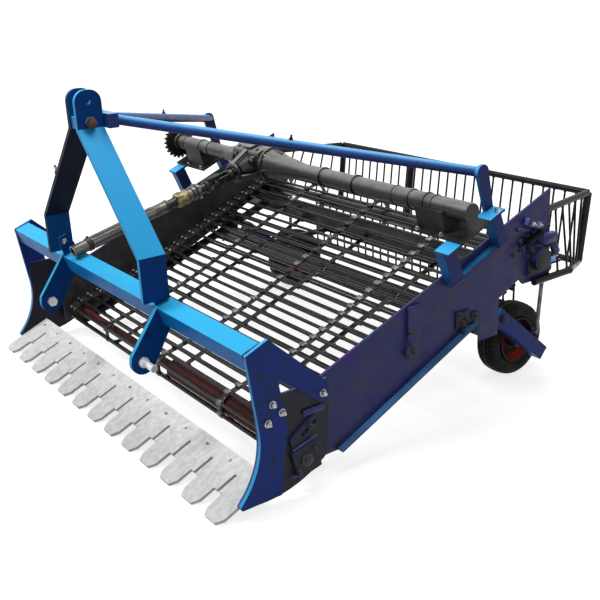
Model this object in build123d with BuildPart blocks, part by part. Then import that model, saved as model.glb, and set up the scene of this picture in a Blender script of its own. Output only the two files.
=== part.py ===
from build123d import *
import os
from math import asin, atan2, cos, degrees, hypot, pi, radians, sin, tan

os.makedirs("parts", exist_ok=True)

# Trailed potato harvester. X is across the machine, Y runs rearward, Z is up.
# Sizes in millimetres; the blade tips and the wheels stand on Z = 0.

# Slopes of the main lines, in degrees above the horizontal towards the rear
panel_top_slope = 21.3
panel_bottom_slope = 24.4
deck_slope = 22.0
drive_slope = 14.0

# Side panels
panel_outer_x = 800.0
panel_thickness = 8.0
panel_front_y = -600.0
panel_rear_y = 516.0
panel_top_y, panel_top_z = -444.0, 333.0
panel_bottom_y, panel_bottom_z = -404.0, 66.0
panel_inner_x = panel_outer_x - panel_thickness
lip_width = 24.0
lip_thickness = 6.0
lip_end_y = 163.0

# Front side plates, with the frames that carry the crossbeam outside them
plate_stand_off = 30.0
plate_thickness = 8.0
side_frame_thickness = 12.0
plate_inner_x = panel_outer_x + plate_stand_off
frame_inner_x = plate_inner_x + plate_thickness
spacer_radius = 22.0

# Outlines in the side view, as rows of Y and Z
leg_front = ((-712.0, 262.0), (-722.0, 150.0), (-784.0, 48.0))
plate_toe = ((-784.0, 48.0), (-784.0, 37.0), (-774.0, 33.0))
plate_floor = ((-774.0, 33.0), (-630.0, 28.0), (-476.0, 96.0))
plate_rear = ((-462.0, 290.0), (-468.0, 338.0))
plate_top_front = (-704.0, 338.0)
leg_rear = ((-648.0, 33.0), (-631.0, 174.0), (-617.0, 229.0), (-642.0, 389.0))
side_arm_low = ((-581.0, 343.0), (-504.0, 278.0))
side_arm_end = ((-504.0, 278.0), (-476.0, 284.0), (-472.0, 308.0))
side_arm_top = ((-478.0, 336.0), (-667.0, 514.0))
spacer_places = ((-490.0, 300.0), (-560.0, 110.0))

# Bearing box of the nose shaft and the slotted lug on each side plate
nose_box_y, nose_box_z = -556.0, 112.0
nose_box_length, nose_box_height = 86.0, 92.0
nose_box_tilt = 13.0
nose_box_thickness = 12.0
lug_front = (-588.0, 180.0)
lug_rear = (-500.0, 236.0)
lug_radius = 20.0
lug_slot_width = 12.0
lug_thickness = 9.0

# Crossbeam
beam_size = 60.0
beam_wall = 6.0
beam_tilt = 18.0
beam_y, beam_z = -703.0, 466.0

# Share with its teeth
tooth_count = 13
tooth_width = 86.0
tooth_pitch = (2 * plate_inner_x - tooth_width) / (tooth_count - 1)
tooth_length = 78.0
tooth_point_length = 24.0
tooth_point_setback = 16.0
slit_width = 12.0
slit_length = 70.0
share_length = 200.0
share_thickness = 10.0
share_cut_overrun = 5.0
share_slope = 22.5
share_tip_y = -850.0
carrier_width = 50.0
carrier_thickness = 14.0

# Mast
mast_bar_width = 88.0
mast_bar_thickness = 14.0
mast_gap = 44.0
mast_foot_x = 352.0
mast_top_z = 1102.0
mast_waist_drop = 122.0
mast_waist_z = mast_top_z - mast_waist_drop
mast_head_radius = 37.0
mast_knee_z = 640.0
mast_foot_z = 506.0
mast_centre_y = -738.0
top_link_drop = 34.0
top_link_z = mast_top_z - top_link_drop
top_link_radius = 10.0
brace_pin_drop = 99.0
brace_pin_z = mast_top_z - brace_pin_drop
brace_pin_radius = 12.0
foot_lug_height = 70.0
foot_lug_thickness = 12.0
foot_lug_front, foot_lug_rear = -24.0, 28.0
foot_lug_head_half = 14.0
foot_lug_shoulder = 30.0

# Clevis at the mast and the two braces
clevis_head_y = -655.0
clevis_tail_length = 38.0
clevis_height = 36.0
clevis_head_length, clevis_head_height, clevis_head_width = 32.0, 44.0, 124.0
pin_head_length = 10.0
pin_head_margin = 7.0
brace_start_x = 38.0
brace_radius = 16.0
brace_end_y, brace_end_z = 176.0, 816.0
brace_trim = 60.0

# Lower hitch
bracket_x = 352.0
bracket_thickness = 16.0
hitch_pin_y, hitch_pin_z = -803.0, 327.0
hitch_pin_radius = 11.0
hitch_pin_length = 62.0
hitch_shank_radius = 10.0
hitch_collar_radius, hitch_collar_length = 17.0, 6.0
hitch_nut_radius, hitch_nut_length = 18.0, 12.0
bracket_end_radius = 40.0
bracket_root = 8.0
bracket_outline = ((-768.0, 302.0), (-803.0, 287.0), (-843.0, 330.0), (-840.0, 350.0))

# Drive line, about the cross shaft axis
tube_stand_out = 70.0
shaft_y, shaft_z = 70.0, 720.0
tube_radius = 30.0
tube_wall = 5.0
tube_end_x = panel_outer_x + tube_stand_out
gearbox_x = -260.0
gearbox_width = 176.0
cross_shaft_radius = 15.0
bearing_gap = 0.1
shaft_end_gap = 2.0
seat_gap = 0.3

# Gearbox and the cage round its input, along and square to the drive slope
body_front_s, body_rear_s, body_half_n = -52.0, 68.0, 66.0
body_corner_radius = 22.0
neck_root_radius, neck_radius = 46.0, 30.0
neck_end_s = -100.0
cap_s, cap_length, cap_height, cap_width = -10.0, 56.0, 10.0, 60.0
input_radius = 15.0
input_seat_t = 30.0
ring_s, ring_thickness = -116.0, 10.0
ring_outer_radius, ring_inner_radius = 42.0, 30.0
cage_root_radius, cage_head_radius = 60.0, 36.0
cage_bar_width, cage_bar_thickness = 24.0, 6.0
cage_bar_bite = 12.0
cage_bar_angles = (90, 210, 330)

# Bells and tubes at both sides of the gearbox, lengths from its faces
bell_radius = 58.0
bell_rim_height, bell_rim_width, bell_rim_bevel = 8.0, 12.0, 2.0
bell_waist_length = 90.0
left_waist_radius, left_bell_length = 44.0, 210.0
right_waist_radius, right_bell_length = 36.0, 130.0
tube_collar_places = (720.0, 540.0)
tube_collar_width, tube_collar_height = 12.0, 5.0
end_collar_width, end_collar_height = 12.0, 9.0
bearing_start, bearing_length, end_bearing_length = 230.0, 70.0, 30.0
left_hollow_margin = 10.0

# Chain sprocket on the cross shaft
sprocket_teeth = 22
sprocket_radius = 74.0
sprocket_width = 12.0
sprocket_root = 64.0
sprocket_root_share, sprocket_tip_share = 0.34, 0.12
sprocket_stub = 3.0
sprocket_hub_radius, sprocket_hub_length = 30.0, 24.0
sprocket_reach = 35.0

# Hoops over the side panels: a ledge with two legs, and a cap on each leg
hoop_front_s, hoop_rear_s = -122.0, 138.0
hoop_top_n, hoop_foot_n = -73.5, -200.0
hoop_ledge_width, hoop_ledge_thickness = 28.0, 8.0
hoop_leg_width = 38.0
hoop_front_leg_depth, hoop_rear_leg_depth = 50.0, 40.0
hoop_cap_width, hoop_cap_thickness = 60.0, 8.0
hoop_front_cap_depth, hoop_rear_cap_depth = 66.0, 88.0
post_front_s, post_rear_s = 102.0, 138.0
post_head_radius = 25.0
post_rear_angle, post_front_angle = 18.4, 215.0
post_thickness = 12.0

# Plates and blocks that carry the drive tube
mount_plate_front_s, mount_plate_rear_s = -66.0, 60.0
mount_plate_thickness = 8.0
mount_block_half = 48.0
mount_block_taper = 10.0
mount_block_top_n = 6.0
mount_block_length = 120.0
mount_block_inset = 20.0
mount_plate_margin = 20.0

# Rod web
rod_radius = 5.5
web_pitch_aim = 45.0
web_end_gap = 8.0
web_half_width = panel_inner_x - web_end_gap
nose_y, nose_z, nose_radius = -537.0, 116.0, 50.0
drum_y, drum_z, drum_radius = 462.0, 478.0, 60.0
bend_y, bend_z, bend_radius = -250.0, 234.0, 1500.0
link_width = 22.0
link_thickness = 6.0
link_lines = (-420.0, 0.0, 420.0)
belt_inset = 56.0
belt_x = panel_inner_x - belt_inset
belt_width = 60.0
belt_thickness = 8.0

# Gauge wheels and their arms
wheel_y = 508.0
wheel_radius = 135.0
tyre_width = 80.0
tyre_shoulder_width, tyre_shoulder_drop = 20.0, 13.0
tyre_depth = 55.0
rim_radius = wheel_radius - tyre_depth
rim_wall = 10.0
rim_edge = 4.0
rim_disc_depth, rim_disc_thickness = 36.0, 8.0
hub_radius = 30.0
hub_inset, hub_stand_out = 14.0, 6.0
axle_radius = 15.0
axle_inset = 12.0
arm_inset = 32.0
arm_x = panel_inner_x - arm_inset
arm_size = 50.0
arm_pivot_y, arm_pivot_z = 329.0, 288.0
arm_head_length, arm_tail_length = 33.0, 56.5
wheel_gap = 35.0
wheel_outer_x = arm_x - arm_size / 2 - wheel_gap
wheel_beam_y, wheel_beam_z = 236.0, 284.0
wheel_beam_size = 50.0
arm_ear_gap, arm_ear_thickness = 8.0, 12.0
pivot_pin_radius = 15.0
pivot_pin_margin = 4.0

# Depth screws and the slotted plates that guide them
guide_inset = 75.0
guide_width = 60.0
guide_neck_y, guide_end_y = 545.0, 616.0
guide_z, guide_thickness = 430.0, 8.0
guide_slot_y, guide_slot_length, guide_slot_width = 566.0, 60.0, 28.0
depth_rod_inset = 10.0
depth_rod_radius = 8.0
depth_rod_foot_y, depth_rod_foot_z = 35.0, -17.0
depth_rod_head_y, depth_rod_head_z = 6.0, 70.0
depth_head_radius, depth_head_share = 14.0, 0.94

# Straps and ears of the side panels
strap_y, strap_z = -102.0, 368.0
strap_width, strap_height, strap_thickness = 54.0, 169.0, 10.0
ear_front_y, ear_rear_y, ear_low_z = 196.0, 284.0, 250.0
bearing_ear_y, bearing_ear_z = 380.0, 400.0
bearing_ear_bevel = 20.0

# Rear fence
fence_top_y, fence_top_z = 856.0, 617.0
fence_low_y, fence_low_z = 827.0, 360.0
fence_inset = 100.0
fence_half_width = panel_outer_x - fence_inset
fence_rail_radius = 12.0
fence_bar_radius = 4.0
fence_bar_pitch = 50.0
rail_sides, bar_sides = 8, 6
fence_post_radius = 14.0
fence_middle_post_x = -226.0
fence_front_y, fence_front_top_z = 500.0, 627.0
fence_front_low_y, fence_front_low_z = 440.0, 400.0
fence_side_bars = 6
fence_bar_lean = 37.0
fence_bend_gap, fence_bend_overlap = 10.0, 3.6
fence_post_cut_overrun, fence_rail_cut_length = 26.0, 40.0

# Reach of the machine each way, and the move that centres it
reach_x = tube_end_x + sprocket_reach
centre_x = (reach_x - tube_end_x) / 2
front_y = share_tip_y - share_thickness * sin(radians(share_slope))
fence_lean = atan2(fence_top_y - fence_low_y, fence_top_z - fence_low_z)
rear_y = fence_top_y + fence_post_radius * cos(fence_lean)
centre_y = -(front_y + rear_y) / 2

# Propeller shaft, measured from the cross shaft down its own slope
joint_t = 200.0
fork_outer, fork_inner, fork_width = 26.0, 17.0, 30.0
fork_reach, fork_overlap = 42.0, 16.0
near_hub_length, far_hub_length = 26.0, 20.0
cross_pin_radius = 9.0
collar_start_t, collar_end_t = 288.0, 395.0
collar_radius = 30.0
inner_tube_gap = 60.0
outer_start_t, outer_end_t = 430.0, 829.6
inner_tube_radius = 18.0
outer_tube_radius = 22.0
input_bore_radius = 17.5
input_bore_depth = 70.0

# Rollers under the web
nose_shaft_radius = 15.0
rear_shaft_radius = 20.0
carrier_radius = 20.0
carrier_shaft_radius = 10.0
carrier_rows = (-100.0, 200.0)
dark_drum_radius = 36.0
dark_drum_start_x = 50.0
cross_tube_y, cross_tube_z, cross_tube_size = 370.0, 443.0, 50.0
housing_size, housing_thickness = 102.0, 10.0
housing_boss_radius, housing_boss_length = 38.0, 32.0

# Rear grid behind the web
grid_y = 600.0
grid_low_z, grid_top_z = 215.0, 400.0
grid_half_width = 595.0
grid_rail_radius = 8.0
grid_strap_thickness = 8.0
grid_arm_size = 20.0


def write(name, piece):
    """Centre one finished piece with the machine, label it and write its file."""
    placed = Pos(centre_x, centre_y, 0) * piece
    placed.label = name
    export_step(placed, "parts/" + name + ".step")


def write_pair(name, left):
    """Write a piece of the left side and its mirror image on the right."""
    write(name + "_left", left)
    with BuildPart() as right:
        mirror(left, about=Plane.YZ)
    write(name + "_right", right.part)


def side(x):
    """Plane of a side view at x, its axes along Y and Z."""
    return Plane.YZ.offset(x)


def panel_top(y):
    return panel_top_z + (y - panel_top_y) * tan(radians(panel_top_slope))


def panel_bottom(y):
    if y < panel_bottom_y:
        return panel_bottom_z
    return panel_bottom_z + (y - panel_bottom_y) * tan(radians(panel_bottom_slope))


def deck(s, n):
    """Point of the side view at s along and n square to the deck slope, from the shaft."""
    c, d = cos(radians(deck_slope)), sin(radians(deck_slope))
    return (shaft_y + s * c - n * d, shaft_z + s * d + n * c)


def beam_point(across, up):
    """Point of the side view in the beam's own turned axes."""
    c, d = cos(radians(beam_tilt)), sin(radians(beam_tilt))
    return (beam_y + across * c - up * d, beam_z + across * d + up * c)


def rod(start, end, radius, sides=0):
    """A bar from one point to another, round or with a number of flat sides."""
    run = Vector(*end) - Vector(*start)
    with BuildPart() as bar:
        with BuildSketch(Plane(origin=start, z_dir=run)):
            if sides:
                RegularPolygon(radius, sides)
            else:
                Circle(radius)
        extrude(amount=run.length)
    return bar.part


def stack(plane, steps, bores=()):
    """Round steps along a plane's normal, from rows of start, end and radius."""
    with BuildPart() as piece:
        for rows, mode in ((steps, Mode.ADD), (bores, Mode.SUBTRACT)):
            for start, end, radius in rows:
                with BuildSketch(plane.offset(start)):
                    Circle(radius)
                extrude(amount=end - start, mode=mode)
    return piece.part


def along(start, end, share):
    """Point part of the way from one point to another."""
    return tuple(a + (b - a) * share for a, b in zip(start, end))


def angle_of(start, end):
    return atan2(end[1] - start[1], end[0] - start[0])


def distance(start, end):
    return hypot(end[0] - start[0], end[1] - start[1])


def polar(centre, radius, angle):
    return (centre[0] + radius * cos(angle), centre[1] + radius * sin(angle))


# Crossbeam and the lugs that carry the mast
beam_hollow = beam_size - 2 * beam_wall
with BuildPart() as crossbeam:
    with BuildSketch(side(-frame_inner_x)):
        with Locations((beam_y, beam_z)):
            Rectangle(beam_size, beam_size, rotation=beam_tilt)
            Rectangle(beam_hollow, beam_hollow, rotation=beam_tilt, mode=Mode.SUBTRACT)
    extrude(amount=2 * frame_inner_x)
write("crossbeam", crossbeam.part)

beam_top = beam_size / 2
with BuildPart() as foot_lugs:
    for x in (mast_foot_x - foot_lug_thickness, -mast_foot_x):
        with BuildSketch(side(x)):
            with BuildLine():
                Polyline(
                    beam_point(foot_lug_front, beam_top),
                    beam_point(foot_lug_rear, beam_top),
                    beam_point(foot_lug_rear, beam_top + foot_lug_shoulder),
                    beam_point(foot_lug_head_half, beam_top + foot_lug_height),
                    beam_point(-foot_lug_head_half, beam_top + foot_lug_height),
                    beam_point(foot_lug_front, beam_top + foot_lug_shoulder),
                    close=True,
                )
            make_face()
        extrude(amount=foot_lug_thickness)
write("foot_lugs", foot_lugs.part)

# Side plates with the nose shaft's bearing boxes, the slotted lugs and the spacers
with BuildPart() as side_plate:
    with BuildSketch(side(plate_inner_x)):
        with BuildLine():
            Line(plate_top_front, leg_front[0])
            ThreePointArc(*leg_front)
            ThreePointArc(*plate_toe)
            ThreePointArc(*plate_floor)
            Polyline(plate_floor[2], *plate_rear, plate_top_front)
        make_face()
    extrude(amount=plate_thickness)
    with BuildSketch(side(frame_inner_x)):
        with Locations((nose_box_y, nose_box_z)):
            Rectangle(nose_box_length, nose_box_height, rotation=nose_box_tilt)
    extrude(amount=nose_box_thickness)
    lug_angle = degrees(angle_of(lug_front, lug_rear))
    lug_length = distance(lug_front, lug_rear)
    with BuildSketch(side(frame_inner_x)):
        with Locations(along(lug_front, lug_rear, 0.5)):
            SlotCenterToCenter(lug_length, 2 * lug_radius, rotation=lug_angle)
            SlotCenterToCenter(lug_length / 2, lug_slot_width, rotation=lug_angle, mode=Mode.SUBTRACT)
    extrude(amount=lug_thickness)
    with BuildSketch(side(panel_outer_x)):
        with Locations(*spacer_places):
            Circle(spacer_radius)
    extrude(amount=plate_stand_off)
write_pair("side_plate", side_plate.part)

# Side frames: a leg down to the share and an arm back to the panel, from the beam's end
beam_front_top = beam_point(-beam_size / 2, beam_size / 2)
with BuildPart() as side_frame:
    with BuildSketch(side(frame_inner_x)):
        with BuildLine():
            Line(beam_front_top, leg_front[0])
            ThreePointArc(*leg_front)
            ThreePointArc(*plate_toe)
            Polyline(plate_toe[2], *leg_rear, *side_arm_low)
            ThreePointArc(*side_arm_end)
            Polyline(side_arm_end[2], *side_arm_top, beam_front_top)
        make_face()
    extrude(amount=side_frame_thickness)
write_pair("side_frame", side_frame.part)

# Main side panels with the outward lip, the ears of the wheel beam and the depth guide
guide_start_x = panel_outer_x - guide_inset
depth_rod_x = arm_x - depth_rod_inset
with BuildPart() as side_panel:
    with BuildSketch(side(panel_inner_x)):
        with BuildLine():
            Polyline(
                (panel_front_y, panel_bottom(panel_front_y)),
                (panel_bottom_y, panel_bottom_z),
                (ear_front_y, panel_bottom(ear_front_y)),
                (ear_front_y, ear_low_z),
                (ear_rear_y, ear_low_z),
                (ear_rear_y, panel_bottom(ear_rear_y)),
                (bearing_ear_y, panel_bottom(bearing_ear_y)),
                (bearing_ear_y + bearing_ear_bevel, bearing_ear_z),
                (panel_rear_y, bearing_ear_z),
                (panel_rear_y, panel_top(panel_rear_y)),
                (panel_front_y, panel_top(panel_front_y)),
                close=True,
            )
        make_face()
    extrude(amount=panel_thickness)
    with BuildSketch(side(panel_outer_x)):
        with BuildLine():
            Polyline(
                (panel_bottom_y, panel_bottom_z),
                (lip_end_y, panel_bottom(lip_end_y)),
                (lip_end_y, panel_bottom(lip_end_y) + lip_thickness),
                (panel_bottom_y, panel_bottom_z + lip_thickness),
                close=True,
            )
        make_face()
    extrude(amount=lip_width)
    with BuildSketch(side(panel_outer_x)):
        with Locations((strap_y, strap_z)):
            Rectangle(strap_width, strap_height)
    extrude(amount=strap_thickness)
    with BuildSketch(side(panel_inner_x)):
        with BuildLine():
            Polyline(
                (panel_rear_y, bearing_ear_z),
                (guide_neck_y, guide_z - guide_thickness),
                (guide_neck_y, guide_z + guide_thickness),
                (panel_rear_y, guide_z + guide_thickness),
                close=True,
            )
        make_face()
    extrude(amount=panel_thickness)
    with BuildSketch(Plane.XY.offset(guide_z)):
        with Locations((guide_start_x, panel_rear_y)):
            Rectangle(panel_outer_x - guide_start_x, guide_neck_y - panel_rear_y, align=Align.MIN)
            Rectangle(guide_width, guide_end_y - panel_rear_y, align=Align.MIN)
        with Locations((depth_rod_x, guide_slot_y)):
            SlotOverall(guide_slot_length, guide_slot_width, rotation=90, mode=Mode.SUBTRACT)
    extrude(amount=guide_thickness)
write_pair("side_panel", side_panel.part)

# Share: one plate cut into teeth on its own slope, with the bar under its rear edge
share_plane = Plane(
    origin=(0, share_tip_y, 0),
    x_dir=(1, 0, 0),
    z_dir=(0, -sin(radians(share_slope)), cos(radians(share_slope))),
)
with BuildPart() as share:
    with BuildSketch(share_plane):
        with Locations((0, share_length / 2)):
            Rectangle(2 * plate_inner_x, share_length)
        for i in range(1, tooth_count):
            x = (i - tooth_count / 2) * tooth_pitch
            gap = tooth_pitch - tooth_width
            with Locations((x, tooth_length / 2 - share_cut_overrun)):
                Rectangle(gap, tooth_length + 2 * share_cut_overrun, mode=Mode.SUBTRACT)
            with Locations((x, tooth_length + (slit_length - slit_width) / 2)):
                SlotOverall(slit_length + slit_width, slit_width, rotation=90, mode=Mode.SUBTRACT)
        for i in range(tooth_count):
            x = (i - (tooth_count - 1) / 2) * tooth_pitch
            for sign in (-1, 1):
                with BuildLine():
                    Polyline(
                        (x + sign * tooth_width / 2, tooth_point_length),
                        (x + sign * (tooth_width / 2 - tooth_point_setback), 0),
                        (x + sign * (tooth_width / 2 + share_cut_overrun), -share_cut_overrun),
                        (x + sign * (tooth_width / 2 + share_cut_overrun), tooth_point_length),
                        close=True,
                    )
                make_face(mode=Mode.SUBTRACT)
    extrude(amount=share_thickness)
    with BuildSketch(share_plane):
        with Locations((0, share_length - carrier_width / 2)):
            Rectangle(2 * plate_inner_x, carrier_width)
    extrude(amount=-carrier_thickness)
write("share", share.part)

# Mast legs
inner = (
    (mast_gap / 2, mast_top_z),
    (mast_gap / 2, mast_waist_z),
    (mast_foot_x, mast_knee_z),
    (mast_foot_x, mast_foot_z),
)
slant = atan2(mast_foot_x - mast_gap / 2, mast_waist_z - mast_knee_z)
shift = mast_bar_thickness * tan(slant / 2)
outer = (
    (mast_gap / 2 + mast_bar_thickness, mast_top_z),
    (mast_gap / 2 + mast_bar_thickness, mast_waist_z + shift),
    (mast_foot_x + mast_bar_thickness, mast_knee_z + shift),
    (mast_foot_x + mast_bar_thickness, mast_foot_z),
)
front_of_mast = Plane(origin=(0, mast_centre_y - mast_bar_width / 2, 0), x_dir=(1, 0, 0), z_dir=(0, -1, 0))
with BuildPart() as mast_leg:
    with BuildSketch(front_of_mast):
        with BuildLine():
            Polyline(*inner, *reversed(outer), close=True)
        make_face()
    extrude(amount=-mast_bar_width)
    top_edges = mast_leg.edges().filter_by(Axis.X).group_by(Axis.Z)[-1]
    fillet(top_edges, radius=mast_head_radius)
    with BuildSketch(side(0)):
        with Locations((mast_centre_y, top_link_z)):
            Circle(top_link_radius)
        with Locations((mast_centre_y, brace_pin_z)):
            Circle(brace_pin_radius)
    extrude(amount=mast_foot_x, mode=Mode.SUBTRACT)
write_pair("mast_leg", mast_leg.part)

# Lower hitch brackets and pins
front_low = beam_point(-beam_size / 2, -beam_size / 2)
with BuildPart() as bracket:
    with BuildSketch(side(bracket_x)):
        with BuildLine():
            Polyline(
                beam_point(-beam_size / 2, beam_size / 2),
                front_low,
                beam_point(bracket_root, -beam_size / 2),
                *bracket_outline,
                close=True,
            )
        make_face()
        with Locations((hitch_pin_y, hitch_pin_z)):
            Circle(bracket_end_radius)
    extrude(amount=bracket_thickness)
    with BuildSketch(side(bracket_x)):
        with Locations((hitch_pin_y, hitch_pin_z)):
            Circle(hitch_shank_radius + bearing_gap)
    extrude(amount=bracket_thickness, mode=Mode.SUBTRACT)
write_pair("hitch_bracket", bracket.part)

pin_plane = Plane(origin=(bracket_x, hitch_pin_y, hitch_pin_z), x_dir=(0, 1, 0), z_dir=(1, 0, 0))
collar_end = bracket_thickness + hitch_collar_length
with BuildPart() as hitch_pin:
    with BuildSketch(pin_plane.offset(-hitch_nut_length)):
        RegularPolygon(hitch_nut_radius, 6)
    extrude(amount=hitch_nut_length)
    add(
        stack(
            pin_plane,
            (
                (0, bracket_thickness, hitch_shank_radius),
                (bracket_thickness, collar_end, hitch_collar_radius),
                (collar_end, collar_end + hitch_pin_length, hitch_pin_radius),
            ),
        )
    )
write_pair("hitch_pin", hitch_pin.part)

# Clevis block with its pin through the mast, and the two brace tubes
pin_reach = mast_gap / 2 + mast_bar_thickness
clevis_tail_y = mast_centre_y - clevis_tail_length
with BuildPart() as clevis:
    with BuildSketch(side(-mast_gap / 2)):
        with Locations(((clevis_tail_y + clevis_head_y) / 2, brace_pin_z)):
            Rectangle(clevis_head_y - clevis_tail_y, clevis_height)
    extrude(amount=mast_gap)
    with BuildSketch(side(-clevis_head_width / 2)):
        with Locations((clevis_head_y - clevis_head_length / 2, brace_pin_z)):
            Rectangle(clevis_head_length, clevis_head_height)
    extrude(amount=clevis_head_width)
    with BuildSketch(side(-pin_reach - pin_head_length)):
        with Locations((mast_centre_y, brace_pin_z)):
            Circle(brace_pin_radius - bearing_gap)
    extrude(amount=2 * (pin_reach + pin_head_length))
    for x in (-pin_reach - pin_head_length, pin_reach):
        with BuildSketch(side(x)):
            with Locations((mast_centre_y, brace_pin_z)):
                RegularPolygon(brace_pin_radius + pin_head_margin, 6)
        extrude(amount=pin_head_length)
write("brace_clevis", clevis.part)

brace_end = (panel_outer_x, brace_end_y, brace_end_z)
brace_start = (brace_start_x, clevis_head_y, brace_pin_z)
run = Vector(*brace_end) - Vector(*brace_start)
with BuildPart() as brace:
    with BuildSketch(Plane(origin=Vector(*brace_start) - run.normalized() * brace_trim, z_dir=run)):
        Circle(brace_radius)
    extrude(amount=run.length + 2 * brace_trim)
    split(bisect_by=Plane.XZ.offset(-clevis_head_y), keep=Keep.BOTTOM)
    split(bisect_by=side(panel_outer_x), keep=Keep.BOTTOM)
write_pair("brace", brace.part)

# Hoops over the side panels, with the posts of the braces
cap_foot_n = hoop_top_n - hoop_cap_thickness
front_leg_end_s = hoop_front_s + hoop_front_leg_depth
rear_leg_start_s = hoop_rear_s - hoop_rear_leg_depth
# Rows of first and last s, foot and head n, and width
hoop_bars = (
    (hoop_front_s, hoop_rear_s, hoop_foot_n - hoop_ledge_thickness, hoop_foot_n, hoop_ledge_width),
    (hoop_front_s, front_leg_end_s, hoop_foot_n, cap_foot_n, hoop_leg_width),
    (rear_leg_start_s, hoop_rear_s, hoop_foot_n, cap_foot_n, hoop_leg_width),
    (hoop_front_s, hoop_front_s + hoop_front_cap_depth, cap_foot_n, hoop_top_n, hoop_cap_width),
    (hoop_rear_s - hoop_rear_cap_depth, hoop_rear_s, cap_foot_n, hoop_top_n, hoop_cap_width),
)
with BuildPart() as hoop:
    for first_s, last_s, foot_n, head_n, width in hoop_bars:
        with BuildSketch(side(panel_outer_x)):
            with BuildLine():
                Polyline(
                    deck(first_s, foot_n),
                    deck(last_s, foot_n),
                    deck(last_s, head_n),
                    deck(first_s, head_n),
                    close=True,
                )
            make_face()
        extrude(amount=width)
    with BuildSketch(side(panel_outer_x)):
        with BuildLine():
            Polyline(
                deck(post_front_s, hoop_top_n),
                deck(post_rear_s, hoop_top_n),
                polar(brace_end[1:], post_head_radius, radians(post_rear_angle)),
                polar(brace_end[1:], post_head_radius, radians(post_front_angle)),
                close=True,
            )
        make_face()
        with Locations(brace_end[1:]):
            Circle(post_head_radius)
    extrude(amount=post_thickness)
write_pair("hoop", hoop.part)

# Plates on the hoops with the blocks that carry the drive tube
mount_outer_x = panel_outer_x - mount_block_inset
mount_inner_x = mount_outer_x - mount_block_length
plate_start_x = mount_inner_x - mount_plate_margin
plate_top_n = hoop_top_n + mount_plate_thickness
with BuildPart() as tube_mount:
    with BuildSketch(side(plate_start_x)):
        with BuildLine():
            Polyline(
                deck(mount_plate_front_s, hoop_top_n),
                deck(mount_plate_rear_s, hoop_top_n),
                deck(mount_plate_rear_s, plate_top_n),
                deck(mount_plate_front_s, plate_top_n),
                close=True,
            )
        make_face()
    extrude(amount=tube_end_x - plate_start_x)
    with BuildSketch(side(mount_inner_x)):
        with BuildLine():
            Polyline(
                deck(-mount_block_half, plate_top_n),
                deck(mount_block_half, plate_top_n),
                deck(mount_block_half - mount_block_taper, mount_block_top_n),
                deck(-mount_block_half + mount_block_taper, mount_block_top_n),
                close=True,
            )
        make_face()
    extrude(amount=mount_block_length)
    with BuildSketch(side(plate_start_x)):
        with Locations((shaft_y, shaft_z)):
            Circle(tube_radius + bearing_gap)
    extrude(amount=tube_end_x, mode=Mode.SUBTRACT)
write_pair("tube_mount", tube_mount.part)

# Gearbox, its drive tubes and the cage round the input
drive_side = Plane(
    origin=(gearbox_x, shaft_y, shaft_z),
    x_dir=(0, cos(radians(drive_slope)), sin(radians(drive_slope))),
    z_dir=(1, 0, 0),
)
input_plane = Plane(
    origin=(gearbox_x, shaft_y, shaft_z),
    x_dir=(1, 0, 0),
    z_dir=(0, -cos(radians(drive_slope)), -sin(radians(drive_slope))),
)
half_box = gearbox_width / 2
face_plane = input_plane.offset(-body_front_s)
with BuildPart() as gearbox:
    with BuildSketch(drive_side.offset(-half_box)):
        with Locations(((body_front_s + body_rear_s) / 2, 0)):
            RectangleRounded(body_rear_s - body_front_s, 2 * body_half_n, body_corner_radius)
    extrude(amount=gearbox_width)
    with BuildSketch(face_plane):
        Circle(neck_root_radius)
    with BuildSketch(input_plane.offset(-neck_end_s)):
        Circle(neck_radius)
    loft()
    with BuildSketch(drive_side.offset(-cap_width / 2)):
        with Locations((cap_s, body_half_n)):
            Rectangle(cap_length, 2 * cap_height)
    extrude(amount=cap_width)
    with BuildSketch(input_plane.offset(input_seat_t)):
        Circle(input_radius + bearing_gap)
    extrude(amount=-ring_s - input_seat_t, mode=Mode.SUBTRACT)
    with BuildSketch(input_plane.offset(-ring_s)):
        Circle(ring_outer_radius)
        Circle(ring_inner_radius, mode=Mode.SUBTRACT)
    extrude(amount=ring_thickness)
    for angle in cage_bar_angles:
        a = radians(angle)
        near = Vector(cage_root_radius * cos(a), cage_root_radius * sin(a), 0)
        depth = body_front_s - ring_s + ring_thickness / 2
        far = Vector(cage_head_radius * cos(a), cage_head_radius * sin(a), depth)
        away = far - near
        start = face_plane.from_local_coords(near - away.normalized() * cage_bar_bite)
        turn = face_plane.from_local_coords(Vector(-sin(a), cos(a), 0)) - face_plane.origin
        heading = face_plane.from_local_coords(away) - face_plane.origin
        with BuildSketch(Plane(origin=start, x_dir=turn, z_dir=heading)):
            Rectangle(cage_bar_width, cage_bar_thickness)
        extrude(amount=away.length + cage_bar_bite)
write("gearbox", gearbox.part)

axis_of_shaft = Axis((0, shaft_y, shaft_z), (1, 0, 0))


def revolved(rows, hollow=()):
    """A piece turned about the cross shaft from rows of x and radius."""
    with BuildPart() as piece:
        for k, table in enumerate((rows, hollow)):
            if table:
                with BuildSketch(Plane.XY.offset(shaft_z)):
                    with BuildLine():
                        Polyline(
                            (table[0][0], shaft_y),
                            *((x, shaft_y + r) for x, r in table),
                            (table[-1][0], shaft_y),
                            close=True,
                        )
                    make_face()
                revolve(axis=axis_of_shaft, mode=Mode.SUBTRACT if k else Mode.ADD)
    return piece.part


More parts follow.
